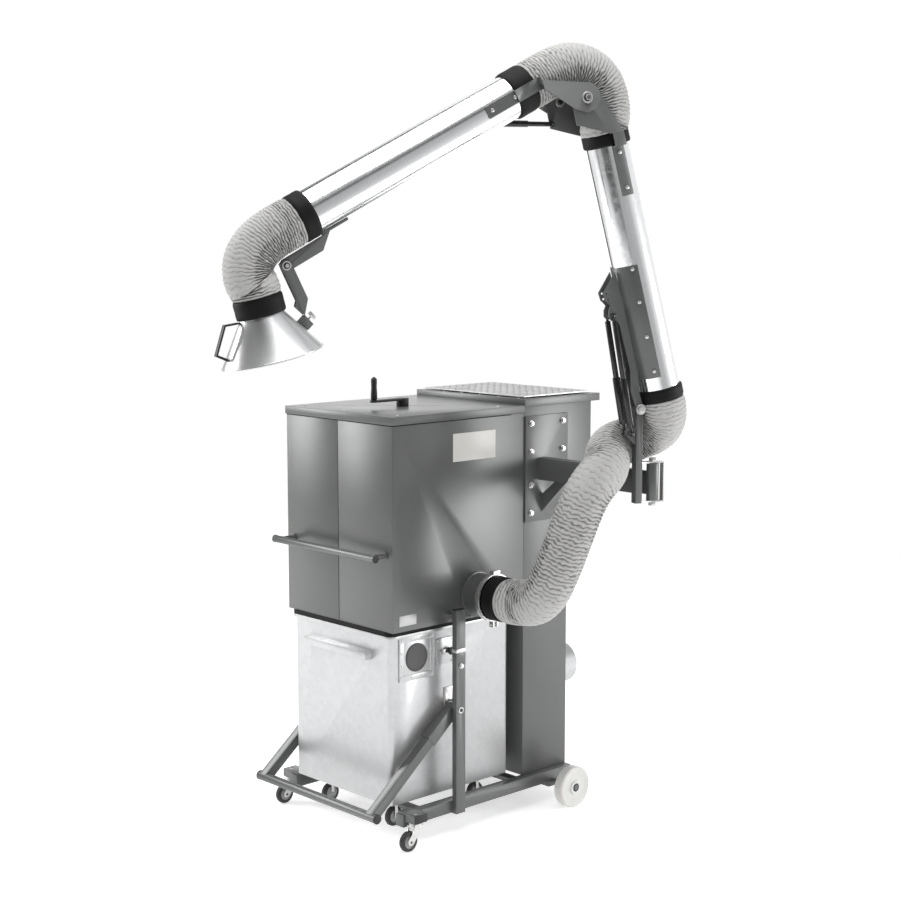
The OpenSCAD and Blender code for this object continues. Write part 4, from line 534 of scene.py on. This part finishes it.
block("toggle_bar", by_port(4, 112, -7), by_port(11, 150, 7), zinc, "bin", 0.0015)
dressed("bin_lift_plates", [zinc], "bin", 0.0006)
rubber = new_finish("black_rubber", (0.004, 0.004, 0.0045), 0.6, Specular_IOR_Level=0.2)
vary(rubber, grain_group, {"Scale": 600.0, "Detail": 3.0}, "Height", roughness=(0.5, 0.72), bump=(0.35, 0.0004))
dressed("bin_gasket", [rubber], "machine", 0.0015)


# Lever posts
# Each post ends in a black cap, has a painted sleeve with a zinc band over it,
# and shows the ring and the nut of the lever's pivot on its outside.
LEVER_Y, LEVER_Z = 279, 468


def washer(radius, height):
    """A flat round or, with six steps, a nut, its corners a little eased."""
    return [(radius - 0.6, -0.2), (radius, 0.3), (radius, height - 0.5), (radius - 0.6, height)]


for side, sign in SIDES:
    for part, across, depth, rise, finish, slot, edge in (
            ("cap", (334.5, 357.5), (256, 302), (839.6, 843), black_plastic, "black_plastic", 0.001),
            ("band", (334.2, 358.2), (255.7, 302.3), (684, 697), zinc, "zinc_plate", 0.0008),
            ("sleeve", (334.4, 357.9), (256, 302), (640, 684.2), grey_coat, "grey_powder_coat", 0.001)):
        inner, outer = sorted(sign * x for x in across)
        block("post_%s_%s" % (part, side), (inner, depth[0], rise[0]), (outer, depth[1], rise[1]),
              finish, "machine", edge)
    studs("post_ring_" + side, [spot(sign * 357, LEVER_Y, LEVER_Z)], (sign, 0, 0), washer(12, 2.2),
          zinc, "lever", 32)
    studs("post_nut_" + side, [spot(sign * 359, LEVER_Y, LEVER_Z)], (sign, 0, 0), washer(6.5, 2.6),
          black_plastic, "lever", 6)


# Lift lever
# A bent U of steel bar with a round cross bar that the foot presses, thick
# sleeves near its pivots, painted as the chassis, with black end caps.
def off_middle(place):
    """Millimetres between a place and the machine's middle plane."""
    return abs(place.x * 1000 + FRONT_X)


dressed("lift_lever", [grey_coat, black_plastic], "lever", 0.0012,
        choose=lambda c, n: 1 if off_middle(c) > 342.5 and c.z < 0.25 else 0)


# Housing
# Two folded sheet panels that meet in a seam at the front, under a flanged
# lid with a thin black strip under its flange, with two blank plates on the
# side and, on top, the crank that turns the filter's wiper.
for node in ("housing_left", "housing_right", "housing_lid"):
    dressed(node, [grey_coat], "machine", 0.0012)
# Thin black rubber strips: one down the front seam, three under the lid's flange.
for name, low, high in (
        ("seam_front", (-0.7, -0.5, 788), (0.7, 0.2, 1527)),
        ("lid_black_strip_front", (-299, -1, 1526.5), (299.6, 0.2, 1530.2)),
        ("lid_black_strip_left", (-301, 0, 1526.5), (-299.8, 590, 1530.2)),
        ("lid_black_strip_right", (299.8, 0, 1526.5), (301, 590, 1530.2))):
    block(name, low, high, rubber, "machine", 0.0001)
dressed("crank_handle", [black_plastic], "crank", 0.001)
dressed("crank_grip", [black_plastic], "crank_knob", 0.0008)
lid_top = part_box("housing_lid")[1].z * 1000
studs("lid_rivets", [spot(x, y, lid_top) for x, y in ((-262, 60), (0, 34), (262, 60), (262, 560), (-262, 560))],
      (0, 0, 1), button(5, 2.6), zinc, "machine")
plate_white = new_finish("blank_plate", (0.62, 0.61, 0.58), 0.4)
vary(plate_white, marks_group, {"Scale": 30.0, "From": 0.4, "To": 0.8}, "Mask", roughness=(0.34, 0.46))
block("blank_plate_side", (300, 292, 1376), (301, 508, 1479), plate_white, "machine", 0.0003)
plate_silver = new_finish("blank_rating_plate", (0.5, 0.5, 0.5), 0.4, 0.5)
vary(plate_silver, marks_group, {"Scale": 40.0, "From": 0.4, "To": 0.8}, "Mask", roughness=(0.34, 0.48))
block("blank_plate_low", (300, 31, 807), (300.7, 112, 845), plate_silver, "machine", 0.0002)
dressed("push_bar", [grey_coat, black_plastic], "machine", 0.0008,
        choose=lambda c, n: 1 if off_middle(c) > 289.5 and abs(n.x) > 0.6 else 0)


# Tower
# Folded sheet column behind the housing, with a deeper box at its top, a
# flanged lid and a quilted sound panel screwed on it.
dressed("tower_shell", [grey_coat], "machine", 0.0012)
dressed("tower_lid", [grey_coat], "machine", 0.0012)
panel_grey = new_finish("quilted_panel", (0.42, 0.42, 0.42), 0.34, 0.6)
vary(panel_grey, marks_group, {"Scale": 12.0, "From": 0.4, "To": 0.8}, "Mask",
     roughness=(0.3, 0.5), shades=((0.44, 0.44, 0.44), (0.36, 0.36, 0.36)))
panel_low, panel_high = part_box("lid_panel")
panel_size = panel_high - panel_low
nothing_selected()
bpy.ops.mesh.primitive_grid_add(x_subdivisions=150, y_subdivisions=104, size=1, location=(0, 0, 0))
panel = bpy.context.object
panel.name = "quilted_panel"
QUILT, QUILT_H, RIM, RIM_SLOPE = 0.036, 0.0052, 0.010, 0.006
SOFT_BELOW = math.radians(50)
for vertex in panel.data.vertices:
    x, y = vertex.co.x * panel_size.x, vertex.co.y * panel_size.y
    rise = abs(math.sin(math.pi * (x + y) / QUILT) * math.sin(math.pi * (x - y) / QUILT)) ** 0.45
    margin = min(panel_size.x / 2 - abs(x), panel_size.y / 2 - abs(y))
    inside = min(1, max(0, (margin - RIM) / RIM_SLOPE))
    top = panel_size.z - QUILT_H + QUILT_H * (rise * inside + (1 - inside) * 0.75)
    vertex.co = (panel_low.x + panel_size.x / 2 + x, panel_low.y + panel_size.y / 2 + y, panel_low.z + top)
bpy.ops.object.mode_set(mode="EDIT")
bpy.ops.mesh.select_all(action="DESELECT")
bpy.ops.mesh.select_mode(type="EDGE")
bpy.ops.mesh.select_non_manifold()
bpy.ops.mesh.extrude_region_move(TRANSFORM_OT_translate={"value": (0, 0, -0.004)})
bpy.ops.mesh.edge_face_add()
bpy.ops.mesh.select_all(action="SELECT")
bpy.ops.mesh.normals_make_consistent(inside=False)
bpy.ops.mesh.select_mode(type="VERT")
bpy.ops.object.mode_set(mode="OBJECT")
bpy.ops.object.shade_smooth_by_angle(angle=SOFT_BELOW)
panel.data.materials.append(panel_grey[0])
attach(panel, "machine")
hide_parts("lid_panel")
dressed("outlet_spigot", [galvanised], "machine", 0.0005)


# Inside the housing and the tower
# The pleated filter hangs from its plate, and the fan blows down a duct to the
# outlet. They show only through the openings.
fleece = new_finish("filter_fleece", (0.78, 0.77, 0.73), 0.85)
vary(fleece, grain_group, {"Scale": 250.0, "Detail": 4.0}, "Height", roughness=(0.75, 0.95), bump=(0.3, 0.0006))
cast_alloy = new_finish("cast_alloy", (0.5, 0.5, 0.5), 0.45, 0.8)
vary(cast_alloy, grain_group, {"Scale": 350.0, "Detail": 4.0}, "Height", roughness=(0.4, 0.6), bump=(0.4, 0.0005))
for node, finish, slot in (
        ("tube_sheet", galvanised, "galvanised"), ("filter_cartridge", fleece, "filter_fleece"),
        ("fan_motor", cast_alloy, "cast_alloy"), ("fan_scroll", grey_coat, "grey_powder_coat")):
    dressed(node, [finish], "machine", 0)
dressed("filter_wiper", [black_plastic], "crank", 0)
dressed("fan_impeller", [cast_alloy], "fan", 0)


# Inlet
# A painted stub on the right side, a zinc clamp ring with its toggle, and the
# black cuff that the hose is pushed on.
dressed("inlet_spigot", [grey_coat], "machine", 0.0006)
dressed("inlet_clamp", [zinc], "machine", 0.0008)


# Arm carrier
# A bolted wall plate with a square beam, a strut and a bush; the post turns in
# the bush in its zinc yoke and carries the arm.
dressed("arm_console", [grey_coat], "machine", 0.001)
dressed("frame_bolts", [zinc], "machine", 0.0006)
HEADING = math.radians(249)
ARM_OUT = Vector((math.cos(HEADING), math.sin(HEADING), 0))
ARM_SIDE = Vector((-math.sin(HEADING), math.cos(HEADING), 0))
SWIVEL = spot(849, 755, 0)


def arm_spot(u, w, z):
    """A place in millimetres in the arm's plane: outward, sideways, up."""
    return SWIVEL + (u * ARM_OUT + w * ARM_SIDE + Vector((0, 0, z))) / 1000


def out_from_swivel(c):
    """Millimetres from the post's axis outward, in the arm's plane."""
    return (c - SWIVEL).dot(ARM_OUT) * 1000


dressed("arm_post", [grey_coat, zinc], "post", 0.0008,
        choose=lambda c, n: 1 if out_from_swivel(c) < 50.4 else 0)

spring_black = new_finish("spring_black", (0.012, 0.012, 0.013), 0.22)
vary(spring_black, marks_group, {"Scale": 20.0, "From": 0.4, "To": 0.85}, "Mask", roughness=(0.16, 0.32))
dressed("spring_sleeves", [spring_black], "main_spring_foot", 0.0008)
dressed("spring_cylinders", [spring_black], "main_spring_head", 0.0008)


# Tubes of the arm
# Bright galvanised tube, drawn smooth, so that the light runs along it in long
# streaks. The two tubes lie in one upright plane, each at its own tilt.
TILT_LOW, TILT_HIGH = math.radians(14.44), math.radians(118.82)
ALONG_LOW = math.sin(TILT_LOW) * ARM_OUT + math.cos(TILT_LOW) * Vector((0, 0, 1))
ALONG_HIGH = math.sin(TILT_HIGH) * ARM_OUT + math.cos(TILT_HIGH) * Vector((0, 0, 1))
LOW_LEN, HIGH_LEN, TUBE_R, TUBE_IN = 940, 931, 75, 73.5
LOW_FOOT = (-30.3, 1616.0)
LOW_HEAD = (LOW_FOOT[0] + LOW_LEN * math.sin(TILT_LOW), LOW_FOOT[1] + LOW_LEN * math.cos(TILT_LOW))
ELBOW = (LOW_HEAD[0] + 126, LOW_HEAD[1] + 122)
HIGH_FOOT = (ELBOW[0] + 174, ELBOW[1] + 37)
HIGH_HEAD = (HIGH_FOOT[0] + HIGH_LEN * math.sin(TILT_HIGH), HIGH_FOOT[1] + HIGH_LEN * math.cos(TILT_HIGH))
bright_tube = new_finish("bright_galvanised_tube", (0.86, 0.87, 0.88), 0.16, 1.0)
vary(bright_tube, spangle_group, {"Scale": 70.0}, "Tone",
     roughness=(0.13, 0.2), shades=((0.88, 0.89, 0.9), (0.83, 0.84, 0.85)))
TUBES = {"lower": (LOW_FOOT, ALONG_LOW, LOW_LEN), "upper": (HIGH_FOOT, ALONG_HIGH, HIGH_LEN)}


def along_arm(which, distance):
    """The matrix at a distance along a tube, X across it in the arm's plane."""
    foot, direction, _ = TUBES[which]
    z = direction.normalized()
    y = ARM_SIDE
    x = y.cross(z)
    start = arm_spot(foot[0], 0, foot[1])
    return Matrix.Translation(start + z * distance / 1000) @ Matrix((x, y, z)).transposed().to_4x4()


for which, body in (("lower", "lower_arm"), ("upper", "upper_arm")):
    length = TUBES[which][2]
    turned(which + "_tube_drawn", [(TUBE_IN, 0), (TUBE_R, 0), (TUBE_R, length), (TUBE_IN, length)],
           along_arm(which, 0), [bright_tube], body, [which + "_tube"], steps=128)


# Brackets and pivots of the arm
# Folded saddle and webs, cranked elbow plates and the hood's bracket, painted,
# held by button head screws, with a washer, a collar and a nut on each pivot.
dressed("lower_bracket", [grey_coat], "lower_arm", 0.0008)
dressed("lower_bolts", [zinc], "lower_arm", 0.0006)
dressed("lower_elbow_plates", [grey_coat], "lower_arm", 0.0008)
dressed("upper_elbow_plates", [grey_coat], "upper_arm", 0.0008)
dressed("elbow_spring_cylinder", [spring_black], "elbow_spring_rod", 0.0008)
dressed("elbow_spring_sleeve", [spring_black], "elbow_spring_body", 0.0008)
dressed("hood_bracket", [grey_coat], "upper_arm", 0.0008)

FLANKS = (("near", 1), ("far", -1))
STRAP_FACE, STRAP_SCREW = 0.0793, button(7.5, 5)
MAIN_PIVOT = (63, 1581)


def pivot_stack(pivot, side, place, way, body, sizes, rounds):
    """Washer, black collar and nut on a pin, each by its stand off, radius and
    height in millimetres, and by the steps round the washer and the collar."""
    for part, finish, slot, (stand_off, radius, height), steps in zip(
            ("washer", "collar", "nut"), (zinc, black_plastic, zinc),
            ("zinc_plate", "black_plastic", "zinc_plate"), sizes, (*rounds, 6)):
        studs("%s_%s_%s" % (pivot, part, side), [place + way * stand_off / 1000], way,
              washer(radius, height), finish, body, steps)


for side, sign in FLANKS:
    way = ARM_SIDE * sign
    for arm, body, places in (("lower", "lower_arm", (0.762, 0.884)), ("upper", "upper_arm", (0.088, 0.182))):
        from_foot = along_arm(arm, 0)
        studs(arm + "_strap_screws_" + side, [from_foot @ Vector((0, sign * STRAP_FACE, z)) for z in places],
              way, STRAP_SCREW, zinc, body)
    pivot_stack("elbow", side, arm_spot(ELBOW[0], sign * 110.5, ELBOW[1]), way, "lower_arm",
                ((0, 19.5, 2.6), (2.5, 13.5, 3), (5.4, 10.5, 5.5)), (48, 40))
    inside = arm_spot(ELBOW[0], sign * 100, ELBOW[1])
    studs("elbow_inner_ring_" + side, [inside], -way, washer(17, 2), zinc, "lower_arm", 40)
    studs("elbow_inner_nut_" + side, [inside - way * 0.0019], -way, washer(9.5, 5),
          black_plastic, "lower_arm", 6)
    pivot_stack("main", side, arm_spot(MAIN_PIVOT[0], sign * 26.3, MAIN_PIVOT[1]), way, "lower_arm",
                ((-6, 19, 6.4), (0.3, 13, 2.2), (2.4, 8.5, 4)), (48, 40))


# Cuffs
# Black rubber coated sleeves drawn over the ends of the tubes and the hoses,
# slightly crumpled, with a turned edge.
def cuff(name, place, length, body, node, inner=75.2, outer=84, seed=0.0):
    """A sleeve along Z with an uneven, wrinkled outside."""
    rings = [(0.0, inner + 0.8), (0.04, outer - 3.2), (0.12, outer - 1.2), (0.3, outer - 0.9), (0.5, outer - 1.4),
             (0.7, outer - 0.9), (0.88, outer - 1.1), (0.96, outer - 2.6), (1.0, inner + 2)]
    profile = [(inner, length), (inner, 0)] + [(r, s * length) for s, r in rings]
    piece = turned(name, profile, Matrix.Identity(4), [rubber], body, [node], steps=96)
    for vertex in piece.data.vertices:
        r = math.hypot(vertex.co.x, vertex.co.y)
        if r * 1000 > inner + 3:
            way = Vector((vertex.co.x, vertex.co.y, 0)) / r
            ripple = noise.noise(way * 3.0 + Vector((0, 0, vertex.co.z * 40 + seed)))
            fold = noise.noise(way * 9.0 + Vector((0, 0, vertex.co.z * 12 + seed)))
            vertex.co -= way * 0.001 * (0.55 + 0.5 * ripple + 0.35 * fold)
            vertex.co.z += 0.003 * noise.noise(way * 2.4 + Vector((seed, 0, 0)))
    piece.data.transform(place)
    bpy.ops.object.shade_smooth_by_angle(angle=SOFT_BELOW)


cuff("cuff_inlet", facing(spot(395.3, 419, 872), TO_THE_RIGHT), 60, "machine", "inlet_cuff", inner=74.5, seed=1.0)
cuff("cuff_lower_foot", along_arm("lower", 0), 45, "lower_arm", "lower_cuffs", seed=2.0)
cuff("cuff_lower_head", along_arm("lower", 910), 46, "lower_arm", "lower_cuffs", seed=3.0)
cuff("cuff_upper_foot", along_arm("upper", 0), 78, "upper_arm", "upper_cuffs", seed=4.0)
cuff("cuff_upper_head", along_arm("upper", 876), 55, "upper_arm", "upper_cuffs", seed=5.0)


# Hood
# A spun aluminium cone with a rolled lip, hung by a link with a clamp and a
# wing screw, with a bent strip handle on its far side.
HOOD_TILT = math.radians(14.5)
HOOD_PIVOT = (HIGH_HEAD[0] + 33, HIGH_HEAD[1] - 144)
NECK = (HOOD_PIVOT[0] + 81, HOOD_PIVOT[1] - 159)
HOOD_DOWN = -math.sin(HOOD_TILT) * ARM_OUT - math.cos(HOOD_TILT) * Vector((0, 0, 1))
hood_place = Matrix.Translation(arm_spot(NECK[0], 0, NECK[1])) @ Matrix(
    (ARM_SIDE.cross(HOOD_DOWN), ARM_SIDE, HOOD_DOWN)).transposed().to_4x4()
spun_metal = new_finish("spun_hood_metal", (0.6, 0.605, 0.61), 0.3, 0.9)
hood_turn = hood_place.to_3x3().inverted().to_euler()
vary(spun_metal, grain_group, {"Scale": 60.0, "Detail": 4.0}, "Height",
     roughness=(0.24, 0.36), bump=(0.08, 0.0006), stretch=(tuple(hood_turn), (0.6, 0.6, 14.0)))
LIP_MIDDLE, LIP_R = (166, 137), 4
lip = [(LIP_MIDDLE[0] + LIP_R * math.cos(a), LIP_MIDDLE[1] + LIP_R * math.sin(a))
       for a in [math.radians(d) for d in range(-60, 241, 30)]]
hood_section = [(73, -50), (75, -50), (75, -1), (76, 3), (166, 133.5)] + lip + [(163, 133.5), (74, 3), (73, -1)]
turned("hood_spun", hood_section, hood_place, [spun_metal], "hood", ["hood_cone"], steps=128)
cuff("cuff_hood", Matrix.Translation(-HOOD_DOWN * 0.063) @ hood_place, 62, "hood", "hood_cuff", seed=6.0)
AT_HOOD = arm_spot(HOOD_PIVOT[0], 0, HOOD_PIVOT[1])


def link_finish(c, n):
    """Black at the clamp, zinc on the pin's ends and painted between."""
    if (c - AT_HOOD).z < -0.158:
        return 2
    return 1 if abs((c - SWIVEL).dot(ARM_SIDE)) > 0.0126 else 0


dressed("hood_link", [grey_coat, zinc, black_plastic], "hood", 0.0008, choose=link_finish)
for side, sign in FLANKS:
    pivot_stack("hood", side, arm_spot(HOOD_PIVOT[0], sign * 12.4, HOOD_PIVOT[1]), ARM_SIDE * sign, "hood",
                ((0, 15.5, 2.4), (2.3, 10.5, 2.2), (4.4, 7, 4)), (40, 32))
dressed("hood_handle", [black_plastic], "hood", 0.0008)
dressed("hood_knob", [zinc], "wing_screw", 0.0005)


# Hoses
# Wire wound fabric hose, light warm grey. The fabric hangs in zigzag folds
# between the turns of the wire, deep inside a bend and stretched outside it.
# Its colour holds painted shade, near black in the valleys and inside a bend,
# and painted light on the crests and outside a bend.
hose_fabric = new_finish("hose_fabric", (0.4, 0.39, 0.37), 0.82)
vary(hose_fabric, grain_group, {"Scale": 1.4, "Detail": 5.0}, "Height",
     roughness=(0.72, 0.9), bump=(0.35, 0.0012), coords="UV")
tree, shader = hose_fabric[1], hose_fabric[2]
# The fold attribute carries painted light and shade with some uneven tone: near black is painted shade in the
# valleys and inside the bends, light grey is painted light on the crests and outside the bends.
shading_and_tone_attribute = add_node(tree, "ShaderNodeAttribute", attribute_name="fold")
shading_and_tone_mix = add_node(tree, "ShaderNodeMix", data_type="RGBA")
shading_and_tone_mix.inputs[MIX_A].default_value = (0.022, 0.0217, 0.021, 1)
shading_and_tone_mix.inputs[MIX_B].default_value = (0.43, 0.427, 0.418, 1)
tree.links.new(shading_and_tone_attribute.outputs["Fac"], shading_and_tone_mix.inputs["Factor"])
tree.links.new(shading_and_tone_mix.outputs[MIX_RESULT], shader.inputs["Base Color"])


def spline(route, share):
    """A point of the even cubic spline through a route, at a share of its length."""
    padded = [2 * route[0] - route[1]] + list(route) + [2 * route[-1] - route[-2]]
    spans = len(padded) - 3
    i = min(spans - 1, int(share * spans))
    t = share * spans - i
    a, b, c, d = padded[i:i + 4]
    return ((1 - t) ** 3 * a + (3 * t ** 3 - 6 * t * t + 4) * b
            + (-3 * t ** 3 + 3 * t * t + 3 * t + 1) * c + t ** 3 * d) / 6


AROUND, PER_RIB, FINE, BESIDE = 128, 7, 1200, 0.002
HOSE_OUT, HOSE_IN, HOSE_END, HOSE_GIRTH = 0.084, 0.0755, 0.0785, 0.528
FOLD_DEPTH, DEEPER_INSIDE, SHALLOWER_OUTSIDE = 0.0046, 0.0028, 0.0026


def even_shares(route, first, last, count):
    """Shares of a route that lie at even distances along it."""
    fine = [first + (last - first) * i / FINE for i in range(FINE + 1)]
    places = [spline(route, s) for s in fine]
    distances = [0.0]
    for a, b in zip(places, places[1:]):
        distances.append(distances[-1] + (b - a).length)
    shares, at = [], 0
    for i in range(count + 1):
        wanted = distances[-1] * i / count
        while at < FINE - 1 and distances[at + 1] < wanted:
            at += 1
        part = (wanted - distances[at]) / max(1e-9, distances[at + 1] - distances[at])
        shares.append(min(last, fine[at] + (fine[at + 1] - fine[at]) * part))
    return shares


def along_and_across(route, s, side):
    """Two directions across a route at a share of it, and the places just ahead
    and just behind."""
    ahead, behind = spline(route, min(1, s + BESIDE)), spline(route, max(0, s - BESIDE))
    line = (ahead - behind).normalized()
    across = line.cross(side).normalized()
    return across, line.cross(across).normalized(), ahead, behind


def tube_faces(start, rings, inward=False):
    """The faces between rings of points that follow each other from a start."""
    faces = []
    for ring in range(start, start + rings * AROUND, AROUND):
        for k in range(AROUND):
            m = (k + 1) % AROUND
            a, b = (m, k) if inward else (k, m)
            faces.append((ring + a, ring + b, ring + AROUND + b, ring + AROUND + a))
    return faces


def hose(name, route, first, last, ribs, side, node, seed, ribs_before=0, tapers=(1, 1)):
    """Rings along the route, crest and valley for each turn, with the fabric's
    folds, a painted shade in the valleys and inside the bends and a painted
    light on the crests and outside them, and a plain bore inside, closed at both ends."""
    rings = ribs * PER_RIB
    taper = PER_RIB * 1.2
    points, painted_shading_and_tone, uvs = [], [], []
    travelled, before = 0.0, None
    for i, s in enumerate(even_shares(route, first, last, rings)):
        here = spline(route, s)
        across, up, ahead, behind = along_and_across(route, s, side)
        step = (ahead - behind).length / 2
        bend = Vector((0, 0, 0))
        if BESIDE < s < 1 - BESIDE and step > 0:
            bend = (ahead + behind - 2 * here) / (step * step)
        travelled += (here - before).length if before else 0
        before = here
        phase = ribs_before + i / PER_RIB
        at_end = min(1, i / taper if tapers[0] else 1, (rings - i) / taper if tapers[1] else 1)
        for k in range(AROUND):
            angle = 2 * math.pi * k / AROUND
            way = math.cos(angle) * across + math.sin(angle) * up
            squeeze = max(-0.5, min(0.8, bend.dot(way) * HOSE_OUT))
            squeezed, stretched = max(0, squeeze), max(0, -squeeze)
            stray = 3.2 * noise.noise(way * 2.6 + Vector((seed, phase * 0.3, 0)))
            zigzag = 0.1 * math.sin(21 * angle + 2.7 * phase + stray)
            zigzag += 0.1 * math.sin(13 * angle - 1.9 * phase - stray)
            zigzag *= 0.5 + 0.9 * abs(noise.noise(way * 3 + Vector((phase * 0.6, seed, 0))))
            wander = 0.5 * noise.noise(way * 3.4 + Vector((seed, 0, phase * 0.45)))
            turn = phase + (zigzag + wander) * at_end
            crest = 0.5 - 0.5 * math.cos(2 * math.pi * turn)
            sharp = crest ** (1.6 if squeeze > 0 else 0.5)
            uneven = noise.noise(way * 6 + Vector((0, seed, phase)))
            depth = FOLD_DEPTH + DEEPER_INSIDE * squeezed - SHALLOWER_OUTSIDE * stretched
            depth *= 0.85 + 0.35 * uneven
            crumple = 0.0011 * noise.noise(way * 16 + Vector((seed, phase * 1.1, 0)))
            radius = HOSE_OUT - 0.0008 - max(0, depth) * (1 - sharp) + min(0.0006, crumple)
            radius = radius * at_end + HOSE_END * (1 - at_end)
            points.append(here + way * radius)
            # Painted light and shade for the colour: lighter on the crests and outside a bend, darker in the
            # valleys and inside a bend, with uneven tone at random.
            light = 0.22 + 0.85 * sharp + 0.9 * stretched - 0.35 * squeezed + 0.35 * uneven
            painted_shading_and_tone.append(max(0, min(1, light)))
            uvs.append((k / AROUND * HOSE_GIRTH * 100, travelled * 100))
    inner = len(points)
    for i, s in enumerate(even_shares(route, first, last, ribs)):
        here = spline(route, s)
        across, up, _, _ = along_and_across(route, s, side)
        for k in range(AROUND):
            angle = 2 * math.pi * k / AROUND
            points.append(here + (math.cos(angle) * across + math.sin(angle) * up) * HOSE_IN)
            # The bore inside takes a fixed middle share of the painted shade.
            painted_shading_and_tone.append(0.3)
            uvs.append((k, i))
    faces = tube_faces(0, rings) + tube_faces(inner, ribs, inward=True)
    outer_end, inner_end = rings * AROUND, inner + ribs * AROUND
    for k in range(AROUND):
        m = (k + 1) % AROUND
        faces.append((m, k, inner + k, inner + m))
        faces.append((outer_end + k, outer_end + m, inner_end + m, inner_end + k))
    mesh = bpy.data.meshes.new(name)
    mesh.from_pydata(points, [], faces)
    mesh.attributes.new("fold", "FLOAT", "POINT").data.foreach_set("value", painted_shading_and_tone)
    layer = mesh.uv_layers.new(name="UVMap")
    for loop in mesh.loops:
        layer.data[loop.index].uv = uvs[loop.vertex_index]
    mesh.materials.append(hose_fabric[0])
    piece = new_piece(name, mesh)
    bpy.ops.object.mode_set(mode="EDIT")
    bpy.ops.mesh.select_all(action="SELECT")
    bpy.ops.mesh.normals_make_consistent(inside=False)
    bpy.ops.object.mode_set(mode="OBJECT")
    bpy.ops.object.shade_smooth()
    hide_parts(node)
    return piece


def in_arm(p):
    """A place in the arm's plane, by its distance outward and its height."""
    return arm_spot(p[0], 0, p[1])


def stepped(place, direction, distance):
    """A place some millimetres on from another in the arm's plane."""
    return in_arm(place) + direction * distance / 1000


supply_route = [spot(455.3, 419, 872), spot(505.3, 419, 872)] + [spot(*p) for p in (
    (535, 425, 875), (645, 415, 890), (720, 450, 1110), (785, 485, 1325),
    (795, 580, 1365), (690, 680, 1440), (735, 795, 1460), (830, 820, 1502))] + [
    stepped(LOW_FOOT, ALONG_LOW, -50.3), stepped(LOW_FOOT, ALONG_LOW, -0.3)]
supply_side = Vector((1, 0, -1)).normalized()
supply_low = hose("supply_hose_low", supply_route, 0, 0.68, 62, supply_side, "supply_hose_lower", 1.3,
                  tapers=(1, 0))
supply_high = hose("supply_hose_high", supply_route, 0.68, 1, 27, supply_side, "supply_hose_upper", 1.3,
                   ribs_before=62, tapers=(0, 1))
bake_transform(supply_low)
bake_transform(supply_high)

elbow_route = [stepped(HIGH_FOOT, ALONG_HIGH, -0.3), stepped(HIGH_FOOT, ALONG_HIGH, -38)] + [
    in_arm(p) for p in ((420, 2732), (345, 2765), (255, 2742), (208, 2672), (200, 2592))] + [
    stepped(LOW_HEAD, ALONG_LOW, 38), stepped(LOW_HEAD, ALONG_LOW, 0.3)]
elbow_hose = hose("elbow_hose_wound", elbow_route, 0, 1, 46, ARM_SIDE, "elbow_hose", 4.1)
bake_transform(elbow_hose)
cuff_top = arm_spot(NECK[0], 0, NECK[1]) - HOOD_DOWN * 0.0633
hood_route = [stepped(HIGH_HEAD, ALONG_HIGH, 0.3), stepped(HIGH_HEAD, ALONG_HIGH, 38)] + [
    in_arm(p) for p in ((1425, 2180), (1482, 2112), (1475, 2040))] + [
    cuff_top - HOOD_DOWN * 0.038, cuff_top]
hood_hose = hose("hood_hose_wound", hood_route, 0, 1, 34, ARM_SIDE, "hood_hose", 7.7)
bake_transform(hood_hose)

# A CAD node that no piece stands in for would show in the chassis paint
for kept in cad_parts.values():
    if not kept.hide_render:
        kept.data.materials.clear()
        kept.data.materials.append(grey_coat[0])

low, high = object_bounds()
